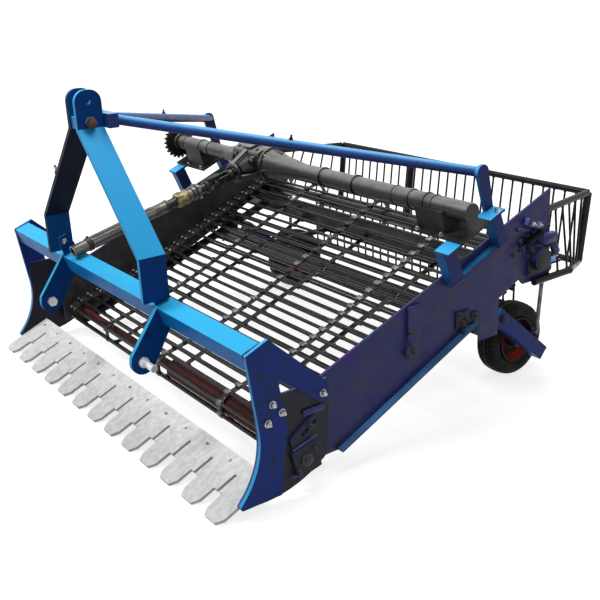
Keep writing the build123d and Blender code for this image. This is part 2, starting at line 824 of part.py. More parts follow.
box_left_x = gearbox_x + half_box
box_right_x = gearbox_x - half_box
bell_rows = (
    (0, bell_radius + bell_rim_height),
    (bell_rim_width, bell_radius + bell_rim_height),
    (bell_rim_width + bell_rim_bevel, bell_radius),
)
collar_rows = [
    (tube_end_x - place + step, tube_radius + height)
    for place in tube_collar_places
    for step, height in (
        (0, 0),
        (0, tube_collar_height),
        (tube_collar_width, tube_collar_height),
        (tube_collar_width, 0),
    )
]
write(
    "drive_tube_left",
    revolved(
        (
            *((box_left_x + length, radius) for length, radius in bell_rows),
            (box_left_x + bell_waist_length, left_waist_radius),
            (box_left_x + left_bell_length, tube_radius),
            *collar_rows,
            (tube_end_x, tube_radius),
        ),
        (
            (box_left_x + bearing_start, tube_radius - tube_wall),
            (tube_end_x - left_hollow_margin, tube_radius - tube_wall),
        ),
    ),
)
bore_start_x = box_right_x - bearing_start
write(
    "drive_tube_right",
    revolved(
        (
            *((box_right_x - length, radius) for length, radius in bell_rows),
            (box_right_x - bell_waist_length, right_waist_radius),
            (box_right_x - right_bell_length, tube_radius),
            (-tube_end_x + end_collar_width, tube_radius),
            (-tube_end_x + end_collar_width, tube_radius + end_collar_height),
            (-tube_end_x, tube_radius + end_collar_height),
        ),
        (
            (bore_start_x, cross_shaft_radius + bearing_gap),
            (bore_start_x - bearing_length, cross_shaft_radius + bearing_gap),
            (bore_start_x - bearing_length, tube_radius - tube_wall),
            (-tube_end_x + end_bearing_length, tube_radius - tube_wall),
            (-tube_end_x + end_bearing_length, cross_shaft_radius + bearing_gap),
            (-tube_end_x, cross_shaft_radius + bearing_gap),
        ),
    ),
)

# Cross shaft with the chain sprocket at its right end
sprocket_x = -reach_x + sprocket_stub
tooth_step = 2 * pi / sprocket_teeth
# Corners of a tooth: share of its step each side of the middle, and radius
tooth_corners = ((sprocket_root_share, sprocket_root), (sprocket_tip_share, sprocket_radius))
tooth_corners = tuple((-part, r) for part, r in tooth_corners) + tuple(reversed(tooth_corners))
tooth_points = [
    (shaft_y + r * cos((k + part) * tooth_step), shaft_z + r * sin((k + part) * tooth_step))
    for k in range(sprocket_teeth)
    for part, r in tooth_corners
]
with BuildPart() as sprocket_shaft:
    with BuildSketch(side(-reach_x)):
        with Locations((shaft_y, shaft_z)):
            Circle(cross_shaft_radius)
    extrude(amount=reach_x + bore_start_x - shaft_end_gap)
    with BuildSketch(side(sprocket_x)):
        with BuildLine():
            Polyline(*tooth_points, close=True)
        make_face()
    extrude(amount=sprocket_width)
    with BuildSketch(side(sprocket_x)):
        with Locations((shaft_y, shaft_z)):
            Circle(sprocket_hub_radius)
    extrude(amount=sprocket_hub_length)
write("sprocket_shaft", sprocket_shaft.part)


# Propeller shaft: the rear half with its joint and collar
fork_middle = (fork_outer + fork_inner) / 2
fork_length = fork_reach + fork_overlap
near_hub_t = joint_t - fork_reach - near_hub_length
far_hub_t = joint_t + fork_reach
with BuildPart() as input_shaft:
    with BuildSketch(input_plane.offset(joint_t - fork_reach)):
        with Locations((fork_middle, 0), (-fork_middle, 0)):
            Rectangle(fork_outer - fork_inner, fork_width)
    extrude(amount=fork_length)
    with BuildSketch(input_plane.offset(joint_t - fork_overlap)):
        with Locations((0, fork_middle), (0, -fork_middle)):
            Rectangle(fork_width, fork_outer - fork_inner)
    extrude(amount=fork_length)
    with BuildSketch(input_plane.offset(joint_t - cross_pin_radius)):
        Rectangle(2 * fork_outer, 2 * cross_pin_radius)
        Rectangle(2 * cross_pin_radius, 2 * fork_outer)
    extrude(amount=2 * cross_pin_radius)
    add(
        stack(
            input_plane,
            (
                (input_seat_t + shaft_end_gap, near_hub_t, input_radius),
                (near_hub_t, joint_t - fork_reach, fork_outer),
            ),
        )
    )
    add(
        stack(
            input_plane,
            (
                (far_hub_t, far_hub_t + far_hub_length, fork_outer),
                (far_hub_t + far_hub_length, collar_start_t, inner_tube_radius),
                (collar_start_t, collar_end_t, collar_radius),
                (collar_end_t, outer_end_t - input_bore_depth - inner_tube_gap, inner_tube_radius),
            ),
        )
    )
write("input_shaft", input_shaft.part)

# Sliding front tube with the bore that takes the tractor's shaft
bore_start_t = outer_end_t - input_bore_depth
write(
    "input_tube",
    stack(
        input_plane,
        ((outer_start_t, outer_end_t, outer_tube_radius),),
        (
            (outer_start_t, bore_start_t, inner_tube_radius + bearing_gap),
            (bore_start_t, outer_end_t, input_bore_radius),
        ),
    ),
)

# Path of the web in the side view, and the same path moved outward by an offset
nose, drum, corner = (nose_y, nose_z), (drum_y, drum_z), (bend_y, bend_z)


front_angle = angle_of(nose, corner) - asin(nose_radius / distance(nose, corner))
rear_angle = angle_of(corner, drum) + asin(drum_radius / distance(corner, drum))
low_angle = angle_of(nose, drum) - asin((drum_radius - nose_radius) / distance(nose, drum))
middle_angle = (front_angle + rear_angle) / 2
bend_lift = bend_radius / cos((rear_angle - front_angle) / 2)
bend = (bend_y - bend_lift * sin(middle_angle), bend_z + bend_lift * cos(middle_angle))


def web_path(offset):
    """Closed outline of the web's run at an offset outward from the rods' centres."""
    n, d, b = nose_radius + offset, drum_radius + offset, bend_radius - offset
    up = pi / 2
    nose_top, nose_low = polar(nose, n, front_angle + up), polar(nose, n, low_angle - up)
    drum_top, drum_low = polar(drum, d, rear_angle + up), polar(drum, d, low_angle - up)
    bend_front, bend_rear = polar(bend, b, front_angle - up), polar(bend, b, rear_angle - up)
    with BuildLine() as path:
        Line(nose_top, bend_front)
        ThreePointArc(bend_front, polar(bend, b, middle_angle - up), bend_rear)
        Line(bend_rear, drum_top)
        ThreePointArc(drum_top, polar(drum, d, (rear_angle + low_angle) / 2), drum_low)
        Line(drum_low, nose_low)
        ThreePointArc(nose_low, polar(nose, n, pi + (front_angle + low_angle) / 2), nose_top)
    return path.wire()


def band(x, width, outer_offset, thickness):
    """Closed strip that follows the web's path."""
    with BuildPart() as strip:
        with BuildSketch(side(x - width / 2)):
            add(make_face(web_path(outer_offset).edges()))
            add(make_face(web_path(outer_offset - thickness).edges()), mode=Mode.SUBTRACT)
        extrude(amount=width)
    return strip.part


# Stations of the rods round the path, each with its heading
centre_path = web_path(0)
rod_count = round(centre_path.length / web_pitch_aim)
stations = []
for k in range(rod_count):
    place = centre_path.length * k / rod_count
    middle = centre_path.position_at(place, position_mode=PositionMode.LENGTH)
    heading = centre_path.tangent_at(place, position_mode=PositionMode.LENGTH)
    stations.append((middle.X, middle.Y, atan2(heading.Y, heading.X)))


def link_outline(offset):
    """Corners of the links' run at an offset from the rods' centres, flat under each rod."""
    corners = []
    for (y, z, angle), (next_y, next_z, next_angle) in zip(stations, stations[1:] + stations[:1]):
        if abs(sin(next_angle - angle)) > 1e-5:
            start = polar((y, z), offset, angle + pi / 2)
            end = polar((next_y, next_z), offset, next_angle + pi / 2)
            reach = distance(start, end) * sin(next_angle - angle_of(start, end)) / sin(next_angle - angle)
            corners.append(polar(start, reach, angle))
    return corners


# Rod web: every rod across the machine, on the link strips that join them
link_top = -rod_radius * cos(radians(30))
belt_top = link_top - seat_gap
with BuildPart() as rod_web:
    with BuildSketch(side(-web_half_width)):
        for y, z, angle in stations:
            with Locations((y, z)):
                RegularPolygon(rod_radius, 6, rotation=degrees(angle))
    extrude(amount=2 * web_half_width)
    for x in link_lines:
        with BuildSketch(side(x - link_width / 2)):
            with BuildLine():
                Polyline(*link_outline(link_top), close=True)
            make_face()
            with BuildLine():
                Polyline(*link_outline(link_top - link_thickness), close=True)
            make_face(mode=Mode.SUBTRACT)
        extrude(amount=link_width)
write("rod_web", rod_web.part)

with BuildPart() as belts:
    for x in (-belt_x, belt_x):
        add(band(x, belt_width, belt_top, belt_thickness))
write("web_belts", belts.part)

# Rollers inside the web
roller_gap = belt_top - belt_thickness - seat_gap
disc_half = belt_width / 2


def roller(centre, shaft_radius, disc_radius):
    """A shaft between the panels with a disc under each belt."""
    with BuildPart() as piece:
        with BuildSketch(side(-panel_inner_x)):
            with Locations(centre):
                Circle(shaft_radius)
        extrude(amount=2 * panel_inner_x)
        for x in (-belt_x, belt_x):
            with BuildSketch(side(x - disc_half)):
                with Locations(centre):
                    Circle(disc_radius)
            extrude(amount=belt_width)
    return piece.part


with BuildPart() as nose_roller:
    add(roller(nose, nose_shaft_radius, nose_radius + roller_gap))
    with BuildSketch(side(dark_drum_start_x)):
        with Locations(nose):
            Circle(dark_drum_radius)
    extrude(amount=belt_x - disc_half - dark_drum_start_x)
write("nose_roller", nose_roller.part)
write("rear_roller", roller(drum, rear_shaft_radius, drum_radius + roller_gap))
with BuildPart() as carriers:
    for y in carrier_rows:
        height = bend_z + (y - bend_y) * tan(rear_angle)
        centre = polar((y, height), carrier_radius - roller_gap, rear_angle - pi / 2)
        add(roller(centre, carrier_shaft_radius, carrier_radius))
write("carrier_rollers", carriers.part)

with BuildPart() as cross_tube:
    with BuildSketch(side(-panel_inner_x)):
        with Locations((cross_tube_y, cross_tube_z)):
            Rectangle(cross_tube_size, cross_tube_size, rotation=deck_slope)
    extrude(amount=2 * panel_inner_x)
write("cross_tube", cross_tube.part)

# Housings of the rear shaft on the outer faces of the panels
with BuildPart() as housings:
    for sign in (-1, 1):
        with BuildSketch(side(sign * panel_outer_x)):
            with Locations(drum):
                Rectangle(housing_size, housing_size)
        extrude(amount=sign * housing_thickness)
        with BuildSketch(side(sign * panel_outer_x)):
            with Locations(drum):
                Circle(housing_boss_radius)
        extrude(amount=sign * housing_boss_length)
write("rear_bearings", housings.part)

# Beam of the gauge wheels, and the plates with the pins that hold the arms
arm_ear_end_x = arm_x - arm_size / 2 - arm_ear_gap
arm_ear_start_x = arm_ear_end_x - arm_ear_thickness
with BuildPart() as wheel_beam:
    with BuildSketch(side(-panel_inner_x)):
        with Locations((wheel_beam_y, wheel_beam_z)):
            Rectangle(wheel_beam_size, wheel_beam_size)
    extrude(amount=2 * panel_inner_x)
write("wheel_beam", wheel_beam.part)

beam_rear_y = wheel_beam_y + wheel_beam_size / 2
with BuildPart() as brackets:
    for sign in (-1, 1):
        with BuildSketch(side(sign * arm_ear_start_x)):
            with Locations(((beam_rear_y + arm_pivot_y) / 2, wheel_beam_z)):
                Rectangle(arm_pivot_y - beam_rear_y, wheel_beam_size)
            with Locations((arm_pivot_y, arm_pivot_z)):
                Circle(wheel_beam_size / 2)
        extrude(amount=sign * (arm_ear_end_x - arm_ear_start_x))
        with BuildSketch(side(sign * arm_ear_start_x)):
            with Locations((arm_pivot_y, arm_pivot_z)):
                Circle(pivot_pin_radius)
        extrude(amount=sign * (arm_x + arm_size / 2 + pivot_pin_margin - arm_ear_start_x))
write("arm_brackets", brackets.part)

# Trailing arms with the axles of the wheels
arm_angle = atan2(wheel_radius - arm_pivot_z, wheel_y - arm_pivot_y)
arm_front = polar((arm_pivot_y, arm_pivot_z), -arm_head_length, arm_angle)
arm_rear = polar((wheel_y, wheel_radius), arm_tail_length, arm_angle)
tyre_inner_x = wheel_outer_x - tyre_width
hub_inner_x = tyre_inner_x + axle_inset
with BuildPart() as arm:
    with BuildSketch(side(arm_x - arm_size / 2)):
        with Locations(along(arm_front, arm_rear, 0.5)):
            Rectangle(distance(arm_front, arm_rear), arm_size, rotation=degrees(arm_angle))
        with Locations((arm_pivot_y, arm_pivot_z)):
            Circle(pivot_pin_radius + bearing_gap, mode=Mode.SUBTRACT)
    extrude(amount=arm_size)
    with BuildSketch(side(hub_inner_x)):
        with Locations((wheel_y, wheel_radius)):
            Circle(axle_radius)
    extrude(amount=arm_x - hub_inner_x)
write_pair("arm", arm.part)

rod_low = (depth_rod_x, wheel_y + depth_rod_foot_y, wheel_radius + depth_rod_foot_z)
rod_top = (depth_rod_x, guide_slot_y + depth_rod_head_y, guide_z + depth_rod_head_z)
with BuildPart() as screw:
    add(rod(rod_low, rod_top, depth_rod_radius))
    add(rod(along(rod_low, rod_top, depth_head_share), rod_top, depth_head_radius))
    with BuildSketch(side(arm_x - arm_size / 2)):
        with Locations(along(arm_front, arm_rear, 0.5)):
            Rectangle(
                distance(arm_front, arm_rear) + 2 * seat_gap,
                arm_size + 2 * seat_gap,
                rotation=degrees(arm_angle),
            )
    extrude(amount=arm_size, mode=Mode.SUBTRACT)
write_pair("depth_rod", screw.part)

# Gauge wheels
wheel_axis = Axis((0, wheel_y, wheel_radius), (1, 0, 0))
shoulder_y = wheel_y + wheel_radius - tyre_shoulder_drop
with BuildPart() as tyre:
    with BuildSketch(Plane.XY.offset(wheel_radius)):
        with BuildLine():
            Polyline(
                (tyre_inner_x, wheel_y + rim_radius),
                (tyre_inner_x, shoulder_y),
                (tyre_inner_x + tyre_shoulder_width, wheel_y + wheel_radius),
                (wheel_outer_x - tyre_shoulder_width, wheel_y + wheel_radius),
                (wheel_outer_x, shoulder_y),
                (wheel_outer_x, wheel_y + rim_radius),
                close=True,
            )
        make_face()
    revolve(axis=wheel_axis)
write_pair("tyre", tyre.part)

wheel_plane = Plane(origin=(0, wheel_y, wheel_radius), x_dir=(0, 1, 0), z_dir=(1, 0, 0))
disc_start_x = wheel_outer_x - rim_disc_depth
write_pair(
    "rim",
    stack(
        wheel_plane,
        ((tyre_inner_x + rim_edge, wheel_outer_x - rim_edge, rim_radius - seat_gap),),
        (
            (tyre_inner_x, disc_start_x, rim_radius - rim_wall),
            (disc_start_x + rim_disc_thickness, wheel_outer_x, rim_radius - rim_wall),
        ),
    )
    + stack(
        wheel_plane,
        ((tyre_inner_x + hub_inset, wheel_outer_x + hub_stand_out, hub_radius),),
        ((tyre_inner_x, wheel_outer_x + 2 * hub_stand_out, axle_radius + bearing_gap),),
    )
    - stack(wheel_plane, ((tyre_inner_x, wheel_outer_x, axle_radius + bearing_gap),)),
)

# Rear fence between its corner posts
rear_low = (0.0, fence_low_y, fence_low_z)
rear_top = (0.0, fence_top_y, fence_top_z)
fence_run = Vector(*rear_top) - Vector(*rear_low)
fence_plane = Plane(origin=rear_low, x_dir=(1, 0, 0), z_dir=fence_run)
bar_count = round(2 * fence_half_width / fence_bar_pitch)
posts = (-fence_half_width, fence_middle_post_x, fence_half_width)
with BuildPart() as fence:
    with BuildSketch(side(-fence_half_width)):
        with Locations(rear_low[1:], rear_top[1:]):
            RegularPolygon(fence_rail_radius, rail_sides)
    extrude(amount=2 * fence_half_width)
    with BuildSketch(fence_plane):
        for k in range(1, bar_count):
            with Locations((2 * fence_half_width * k / bar_count - fence_half_width, 0)):
                RegularPolygon(fence_bar_radius, bar_sides)
        with Locations(*((x, 0) for x in posts)):
            RegularPolygon(fence_post_radius, rail_sides)
    extrude(amount=fence_run.length)
write("fence_rear", fence.part)

# Side fences, from the panels to the corner posts
top_start = (panel_inner_x - fence_rail_radius - seat_gap, fence_front_y, fence_front_top_z)
low_x = panel_outer_x + fence_rail_radius + seat_gap
low_start = (low_x, fence_front_low_y, fence_front_low_z)
low_bend = (low_x, guide_end_y + fence_bend_gap, fence_front_low_z)
corner_low = (fence_half_width, fence_low_y, fence_low_z)
corner_top = (fence_half_width, fence_top_y, fence_top_z)
low_run = Vector(*low_bend) - Vector(*low_start)
rear_run = Vector(*corner_low) - Vector(*low_bend)
post_run = Vector(*corner_top) - Vector(*corner_low)
past_bend = along(low_start, low_bend, 1 + fence_bend_overlap / low_run.length)
before_bend = along(low_bend, corner_low, -fence_bend_overlap / rear_run.length)
post_overrun = fence_post_cut_overrun / post_run.length
with BuildPart() as side_fence:
    add(rod(top_start, corner_top, fence_rail_radius, rail_sides))
    add(rod(low_start, past_bend, fence_rail_radius, rail_sides))
    add(rod(before_bend, corner_low, fence_rail_radius, rail_sides))
    for k in range(1, fence_side_bars + 1):
        head = along(top_start, corner_top, k / (fence_side_bars + 1))
        foot_y = head[1] - fence_bar_lean
        share = (foot_y - low_bend[1]) / (corner_low[1] - low_bend[1])
        foot = along(low_bend, corner_low, max(share, 0))
        add(rod((foot[0], foot_y, foot[2]), head, fence_bar_radius, bar_sides))
    below = along(corner_low, corner_top, -post_overrun)
    above = along(corner_low, corner_top, 1 + post_overrun)
    add(rod(below, above, fence_post_radius + seat_gap), mode=Mode.SUBTRACT)
    for end in (corner_low, corner_top):
        inward = (end[0] - fence_rail_cut_length, end[1], end[2])
        add(rod(end, inward, fence_rail_radius + seat_gap), mode=Mode.SUBTRACT)
    split(bisect_by=side(fence_half_width), keep=Keep.TOP)
write_pair("fence_side", side_fence.part)

# Grid behind the web, and the two arms that carry it from the wheel beam
grid_bar_count = round(2 * grid_half_width / fence_bar_pitch)
grid_bar_gap = 2 * grid_half_width / grid_bar_count
grid_arm_x = grid_half_width - 1.5 * grid_bar_gap
with BuildPart() as grid:
    with BuildSketch(side(-grid_half_width)):
        with Locations((grid_y, grid_low_z), (grid_y, grid_top_z)):
            RegularPolygon(grid_rail_radius, rail_sides)
        with Locations((grid_y - grid_strap_thickness / 2, wheel_beam_z)):
            Rectangle(grid_strap_thickness, grid_arm_size)
    extrude(amount=2 * grid_half_width)
    with BuildSketch(Plane.XY.offset(grid_low_z)):
        for k in range(grid_bar_count + 1):
            with Locations((grid_bar_gap * k - grid_half_width, grid_y)):
                RegularPolygon(fence_bar_radius, bar_sides)
    extrude(amount=grid_top_z - grid_low_z)
write("rear_grid", grid.part)

with BuildPart() as grid_arms:
    with BuildSketch(Plane.XZ.offset(-beam_rear_y)):
        with Locations((-grid_arm_x, wheel_beam_z), (grid_arm_x, wheel_beam_z)):
            Rectangle(grid_arm_size, grid_arm_size)
    extrude(amount=beam_rear_y - grid_y + grid_strap_thickness)
write("grid_arms", grid_arms.part)
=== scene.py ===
import math
import random

import bmesh
import bpy
from mathutils import Matrix, Vector


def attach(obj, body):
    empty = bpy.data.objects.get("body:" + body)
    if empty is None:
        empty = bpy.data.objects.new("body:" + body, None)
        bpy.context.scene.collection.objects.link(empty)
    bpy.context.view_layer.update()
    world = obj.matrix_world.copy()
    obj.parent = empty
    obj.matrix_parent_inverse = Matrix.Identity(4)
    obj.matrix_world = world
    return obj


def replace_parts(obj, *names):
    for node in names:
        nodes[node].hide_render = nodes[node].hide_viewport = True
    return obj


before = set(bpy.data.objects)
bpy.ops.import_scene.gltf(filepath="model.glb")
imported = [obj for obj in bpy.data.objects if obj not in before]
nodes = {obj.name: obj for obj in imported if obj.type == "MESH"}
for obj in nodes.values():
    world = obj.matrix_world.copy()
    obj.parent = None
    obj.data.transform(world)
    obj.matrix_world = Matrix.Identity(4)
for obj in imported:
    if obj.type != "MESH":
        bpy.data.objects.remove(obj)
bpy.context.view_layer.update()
rng = random.Random(7)

SIDES = (("left", 1), ("right", -1))
ACROSS, REARWARD, UPWARD = (1, 0, 0), (0, 1, 0), (0, 0, 1)
TURN = 2 * math.pi
QUARTER = math.pi / 2

# Measures of the pieces are the source's millimetres, before it centres the machine
SHARE_SLOPE = math.radians(22.5)
SHARE_TIP_Y, SHARE_THICKNESS = -850.0, 10.0
FENCE_LOW, FENCE_TOP = (827.0, 360.0), (856.0, 617.0)
FENCE_POST_RADIUS = 14.0
fence_lean = math.atan2(FENCE_TOP[0] - FENCE_LOW[0], FENCE_TOP[1] - FENCE_LOW[1])
first_y = SHARE_TIP_Y - SHARE_THICKNESS * math.sin(SHARE_SLOPE)
last_y = FENCE_TOP[0] + FENCE_POST_RADIUS * math.cos(fence_lean)
MOVE_X, MOVE_Y = 17.5, -(first_y + last_y) / 2


def at(x, y, z):
    """A point of the source in this scene's metres."""
    return Vector(((x + MOVE_X) / 1000, (y + MOVE_Y) / 1000, z / 1000))


# Material tools
def new_material(name):
    mat = bpy.data.materials.new(name)
    mat.use_nodes = True
    tree = mat.node_tree
    return mat, tree, tree.nodes["Principled BSDF"]


def add_node(tree, kind, **values):
    """A node with its inputs or properties set by name."""
    node = tree.nodes.new(kind)
    for key, value in values.items():
        if key in node.inputs:
            node.inputs[key].default_value = value
        else:
            setattr(node, key, value)
    return node


def noise(tree, vector, **values):
    node = add_node(tree, "ShaderNodeTexNoise", **values)
    tree.links.new(vector, node.inputs["Vector"])
    return node.outputs["Fac"]


def remap(tree, source, low, high, to_low=0.0, to_high=1.0):
    """A value carried from one range to another and held at its ends."""
    node = tree.nodes.new("ShaderNodeMapRange")
    limits = {"From Min": low, "From Max": high, "To Min": to_low, "To Max": to_high}
    for key, value in limits.items():
        node.inputs[key].default_value = value
    tree.links.new(source, node.inputs["Value"])
    return node.outputs["Result"]


def combine(tree, operation, first, second):
    """Two values joined by a math node."""
    node = add_node(tree, "ShaderNodeMath", operation=operation)
    tree.links.new(first, node.inputs[0])
    tree.links.new(second, node.inputs[1])
    return node.outputs[0]


def ramp(tree, source, *stops):
    """Colour ramp through stops of position and colour."""
    node = tree.nodes.new("ShaderNodeValToRGB")
    elements = node.color_ramp.elements
    while len(elements) < len(stops):
        elements.new(0.5)
    for element, (position, color) in zip(elements, stops):
        element.position = position
        element.color = (*color, 1)
    tree.links.new(source, node.inputs["Fac"])
    return node.outputs["Color"]


def blend_colors(tree, share, first, second):
    """A mix of two colours, each a tuple or the output of a node."""
    mix = add_node(tree, "ShaderNodeMix", data_type="RGBA")
    tree.links.new(share, mix.inputs["Factor"])
    for value, socket in ((first, mix.inputs["A"]), (second, mix.inputs["B"])):
        if isinstance(value, tuple):
            socket.default_value = (*value, 1)
        else:
            tree.links.new(value, socket)
    return mix.outputs["Result"]


def along(tree, quantity, direction):
    """The normal or the position, measured along a fixed direction."""
    geometry = tree.nodes.new("ShaderNodeNewGeometry")
    dot = add_node(tree, "ShaderNodeVectorMath", operation="DOT_PRODUCT")
    tree.links.new(geometry.outputs[quantity], dot.inputs[0])
    dot.inputs[1].default_value = direction
    return dot.outputs["Value"]


def facing(tree, direction, low, high):
    """How far a face looks along a fixed direction, from 0 at low to 1 at high."""
    return remap(tree, along(tree, "Normal", direction), low, high)


def below(tree, share, direction, low, high, rest):
    """A share that fades to a rest with the height above a slanting line, from low to high."""
    fade = remap(tree, along(tree, "Position", direction), low, high, 1.0, rest)
    return combine(tree, "MULTIPLY", share, fade)


# Where the slow noise gives the first colour and the last one
SLOW_LOW, SLOW_HIGH = 0.36, 0.66
# How wide the facing of a face in painted light is, and where that painted light starts as a
# share of the facing where the painted shade ends
PAINTED_LIGHT_WIDTH, PAINTED_LIGHT_START = 0.4, 0.6
BUMP_DEPTH = 0.0006
NONE, ALL, MOST = (0, 0, 0), (1, 1, 1), (0.7, 0.7, 0.7)


def surface(name, base, worn, rough=(0.35, 0.55), metallic=0.0, level=0.4, scale=18.0,
            streak=(1, 1, 1), bump=0.12, grain=260.0, painted_light=None, only_low=None, inner=None,
            dust=None, chip=None, chip_at=0.70):
    """Painted or bare metal: slow colour change, grain in the gloss, chips and dust.

    The painted light is given by a direction, the facing where it starts and ends, and the
    colours of a face in painted shade and of a face in painted light. only_low keeps that painted
    light
    below a slanting line: direction, heights where it starts to fade and ends, and the share
    left.
    inner is the direction and the colour of a face darkened by soil and painted shade.
    """
    mat, tree, bsdf = new_material(name)
    coords = tree.nodes.new("ShaderNodeTexCoord").outputs["Object"]
    mapping = add_node(tree, "ShaderNodeMapping", Scale=streak)
    tree.links.new(coords, mapping.inputs["Vector"])
    stretched = mapping.outputs["Vector"]
    slow = noise(tree, stretched, Scale=scale, Detail=6.0, Roughness=0.6)
    color = ramp(tree, slow, (SLOW_LOW, base), (SLOW_HIGH, worn))
    # Painted light and shade: faces that look away from a fixed direction take a shaded colour,
    # which drifts at random from a dull tone to a violet one, and the faces that look most along
    # it take a lit colour
    if painted_light:
        direction, low, high, shaded, lit = painted_light
        painted_light_at = high * PAINTED_LIGHT_START
        share = facing(tree, direction, low, high)
        painted_light_share = facing(tree, direction, painted_light_at, PAINTED_LIGHT_WIDTH + painted_light_at)
        if only_low:
            share, painted_light_share = (below(tree, s, *only_low) for s in (share, painted_light_share))
        dull = (shaded[0] * 0.9, shaded[1] * 0.7, shaded[2] * 0.35)
        violet = (shaded[0] * 2.4, shaded[1] * 0.85, shaded[2] * 1.2)
        painted_shade_tone = ramp(tree, slow, (0.34, dull), (0.46, shaded), (0.54, shaded), (0.68, violet))
        color = blend_colors(tree, share, painted_shade_tone, color)
        color = blend_colors(tree, painted_light_share, color, lit)
    # Faces that look along another direction are darkened by soil and painted shade
    if inner:
        direction, soil_and_shade = inner
        lighter_soil_and_shade = tuple(c * 2.2 for c in soil_and_shade)
        share = facing(tree, direction, 0.4, 0.6)
        soiled_and_shaded = ramp(tree, slow, (SLOW_LOW, soil_and_shade), (SLOW_HIGH, lighter_soil_and_shade))
        color = blend_colors(tree, share, color, soiled_and_shaded)
    if dust:
        patches = noise(tree, coords, Scale=7.0, Detail=8.0, Roughness=0.72)
        color = blend_colors(tree, ramp(tree, patches, (0.45, NONE), (0.78, MOST)), color, dust)
    if chip:
        spots = noise(tree, coords, Scale=85.0, Detail=5.0, Roughness=0.72)
        share = ramp(tree, spots, (chip_at, NONE), (chip_at + 0.03, ALL))
        color = blend_colors(tree, share, color, chip)
    tree.links.new(color, bsdf.inputs["Base Color"])
    fine = noise(tree, stretched, Scale=grain, Detail=3.0)
    tree.links.new(remap(tree, slow, 0.35, 0.65, *rough), bsdf.inputs["Roughness"])
    relief = add_node(tree, "ShaderNodeBump", Strength=bump, Distance=BUMP_DEPTH)
    tree.links.new(fine, relief.inputs["Height"])
    tree.links.new(relief.outputs["Normal"], bsdf.inputs["Normal"])
    bsdf.inputs["Metallic"].default_value = metallic
    bsdf.inputs["Specular IOR Level"].default_value = level
    return mat


# Blue paints: painted light on the faces that look up and to the front, painted shade on the
# sides
LIGHT_WAY = tuple(Vector((-0.28, -0.42, 0.86)).normalized())
ABOVE_DECK = (0, -0.375, 0.927)
BLUE_CHIPS = {"chip": (0.05, 0.06, 0.08), "chip_at": 0.72}
BLUE = surface(
    "blue_paint", (0.008, 0.165, 0.440), (0.012, 0.200, 0.500), rough=(0.30, 0.46), level=0.12,
    painted_light=(LIGHT_WAY, -0.22, 0.30, (0.008, 0.028, 0.170), (0.030, 0.340, 0.700)), **BLUE_CHIPS)
# The hoops: full painted light above a line over the deck, and about a third of it below
HOOP = surface(
    "hoop_paint", (0.008, 0.165, 0.440), (0.012, 0.200, 0.500), rough=(0.30, 0.46), level=0.12,
    painted_light=(LIGHT_WAY, -0.22, 0.30, (0.012, 0.026, 0.130), (0.040, 0.330, 0.680)),
    only_low=(ABOVE_DECK, 0.50, 0.46, 0.35), **BLUE_CHIPS)
MAST = surface(
    "mast_paint", (0.003, 0.145, 0.460), (0.004, 0.185, 0.500), rough=(0.30, 0.46), level=0.05,
    painted_light=(LIGHT_WAY, -0.30, 0.25, (0.003, 0.036, 0.170), (0.028, 0.345, 0.620)), **BLUE_CHIPS)
# Painted shade: the far mast leg is a darker copy of the mast's paint, and its slanted part,
# which turns its inner face down, is painted nearly black
SHADED_FAR_MAST = surface(
    "far_mast_painted_shade", (0.003, 0.055, 0.180), (0.005, 0.075, 0.240), rough=(0.34, 0.52),
    level=0.05, painted_light=((0.6, 0, 0.8), 0.05, 0.50, (0.005, 0.011, 0.026), (0.004, 0.062, 0.200)),
    chip=(0.03, 0.03, 0.035))
BRACKET = surface(
    "bracket_paint", (0.022, 0.026, 0.110), (0.050, 0.060, 0.220), rough=(0.30, 0.50),
    level=0.2, scale=40.0, painted_light=(LIGHT_WAY, -0.1, 0.45, (0.030, 0.034, 0.150), (0.120, 0.180, 0.520)),
    chip=(0.01, 0.01, 0.012), chip_at=0.60)
BRACE = surface(
    "brace_paint", (0.016, 0.085, 0.310), (0.026, 0.105, 0.370), rough=(0.26, 0.42),
    level=0.15, painted_light=(LIGHT_WAY, -0.30, 0.55, (0.014, 0.030, 0.145), (0.085, 0.300, 0.560)),
    **BLUE_CHIPS)
# The panels: painted light on their lower lip alone, painted shade above it, and inner faces
# darkened by soil and painted shade
PANELS = {
    side: surface(
        "panel_paint_" + side, (0.016, 0.060, 0.240), (0.020, 0.075, 0.280),
        rough=(0.34, 0.54), level=0.22,
        painted_light=(LIGHT_WAY, -0.1, 0.5, (0.014, 0.018, 0.105), (0.080, 0.240, 0.520)),
        only_low=(ABOVE_DECK, 0.34, 0.39, 0.0), inner=((-sign, 0, 0), (0.018, 0.017, 0.016)),
        chip=(0.05, 0.045, 0.05), dust=(0.045, 0.045, 0.09))
    for side, sign in SIDES
}

# Dark paints
# The plates: painted light on the faces that look up and to the front, painted shade on the rest
PLATE = surface(
    "plate_paint", (0.012, 0.013, 0.050), (0.018, 0.018, 0.085), rough=(0.34, 0.56), level=0.2,
    painted_light=(LIGHT_WAY, 0.0, 0.5, (0.007, 0.0085, 0.016), (0.045, 0.060, 0.240)), chip=(0.07, 0.06, 0.06))
BLACK = surface(
    "black_paint", (0.004, 0.004, 0.0045), (0.012, 0.012, 0.013), rough=(0.22, 0.42),
    level=0.15, chip=(0.09, 0.08, 0.07), dust=(0.018, 0.017, 0.016))
# Cast parts: painted light on the faces that look up, painted shade on the rest
CASTING = {
    "base": (0.016, 0.016, 0.016), "worn": (0.070, 0.069, 0.068), "rough": (0.22, 0.46),
    "bump": 0.5, "grain": 420.0, "level": 0.3,
    "painted_light": (LIGHT_WAY, 0.50, 1.0, (0.012, 0.012, 0.012), (0.17, 0.168, 0.165)),
}
CAST = surface("cast_black", dust=(0.040, 0.038, 0.036), **CASTING)
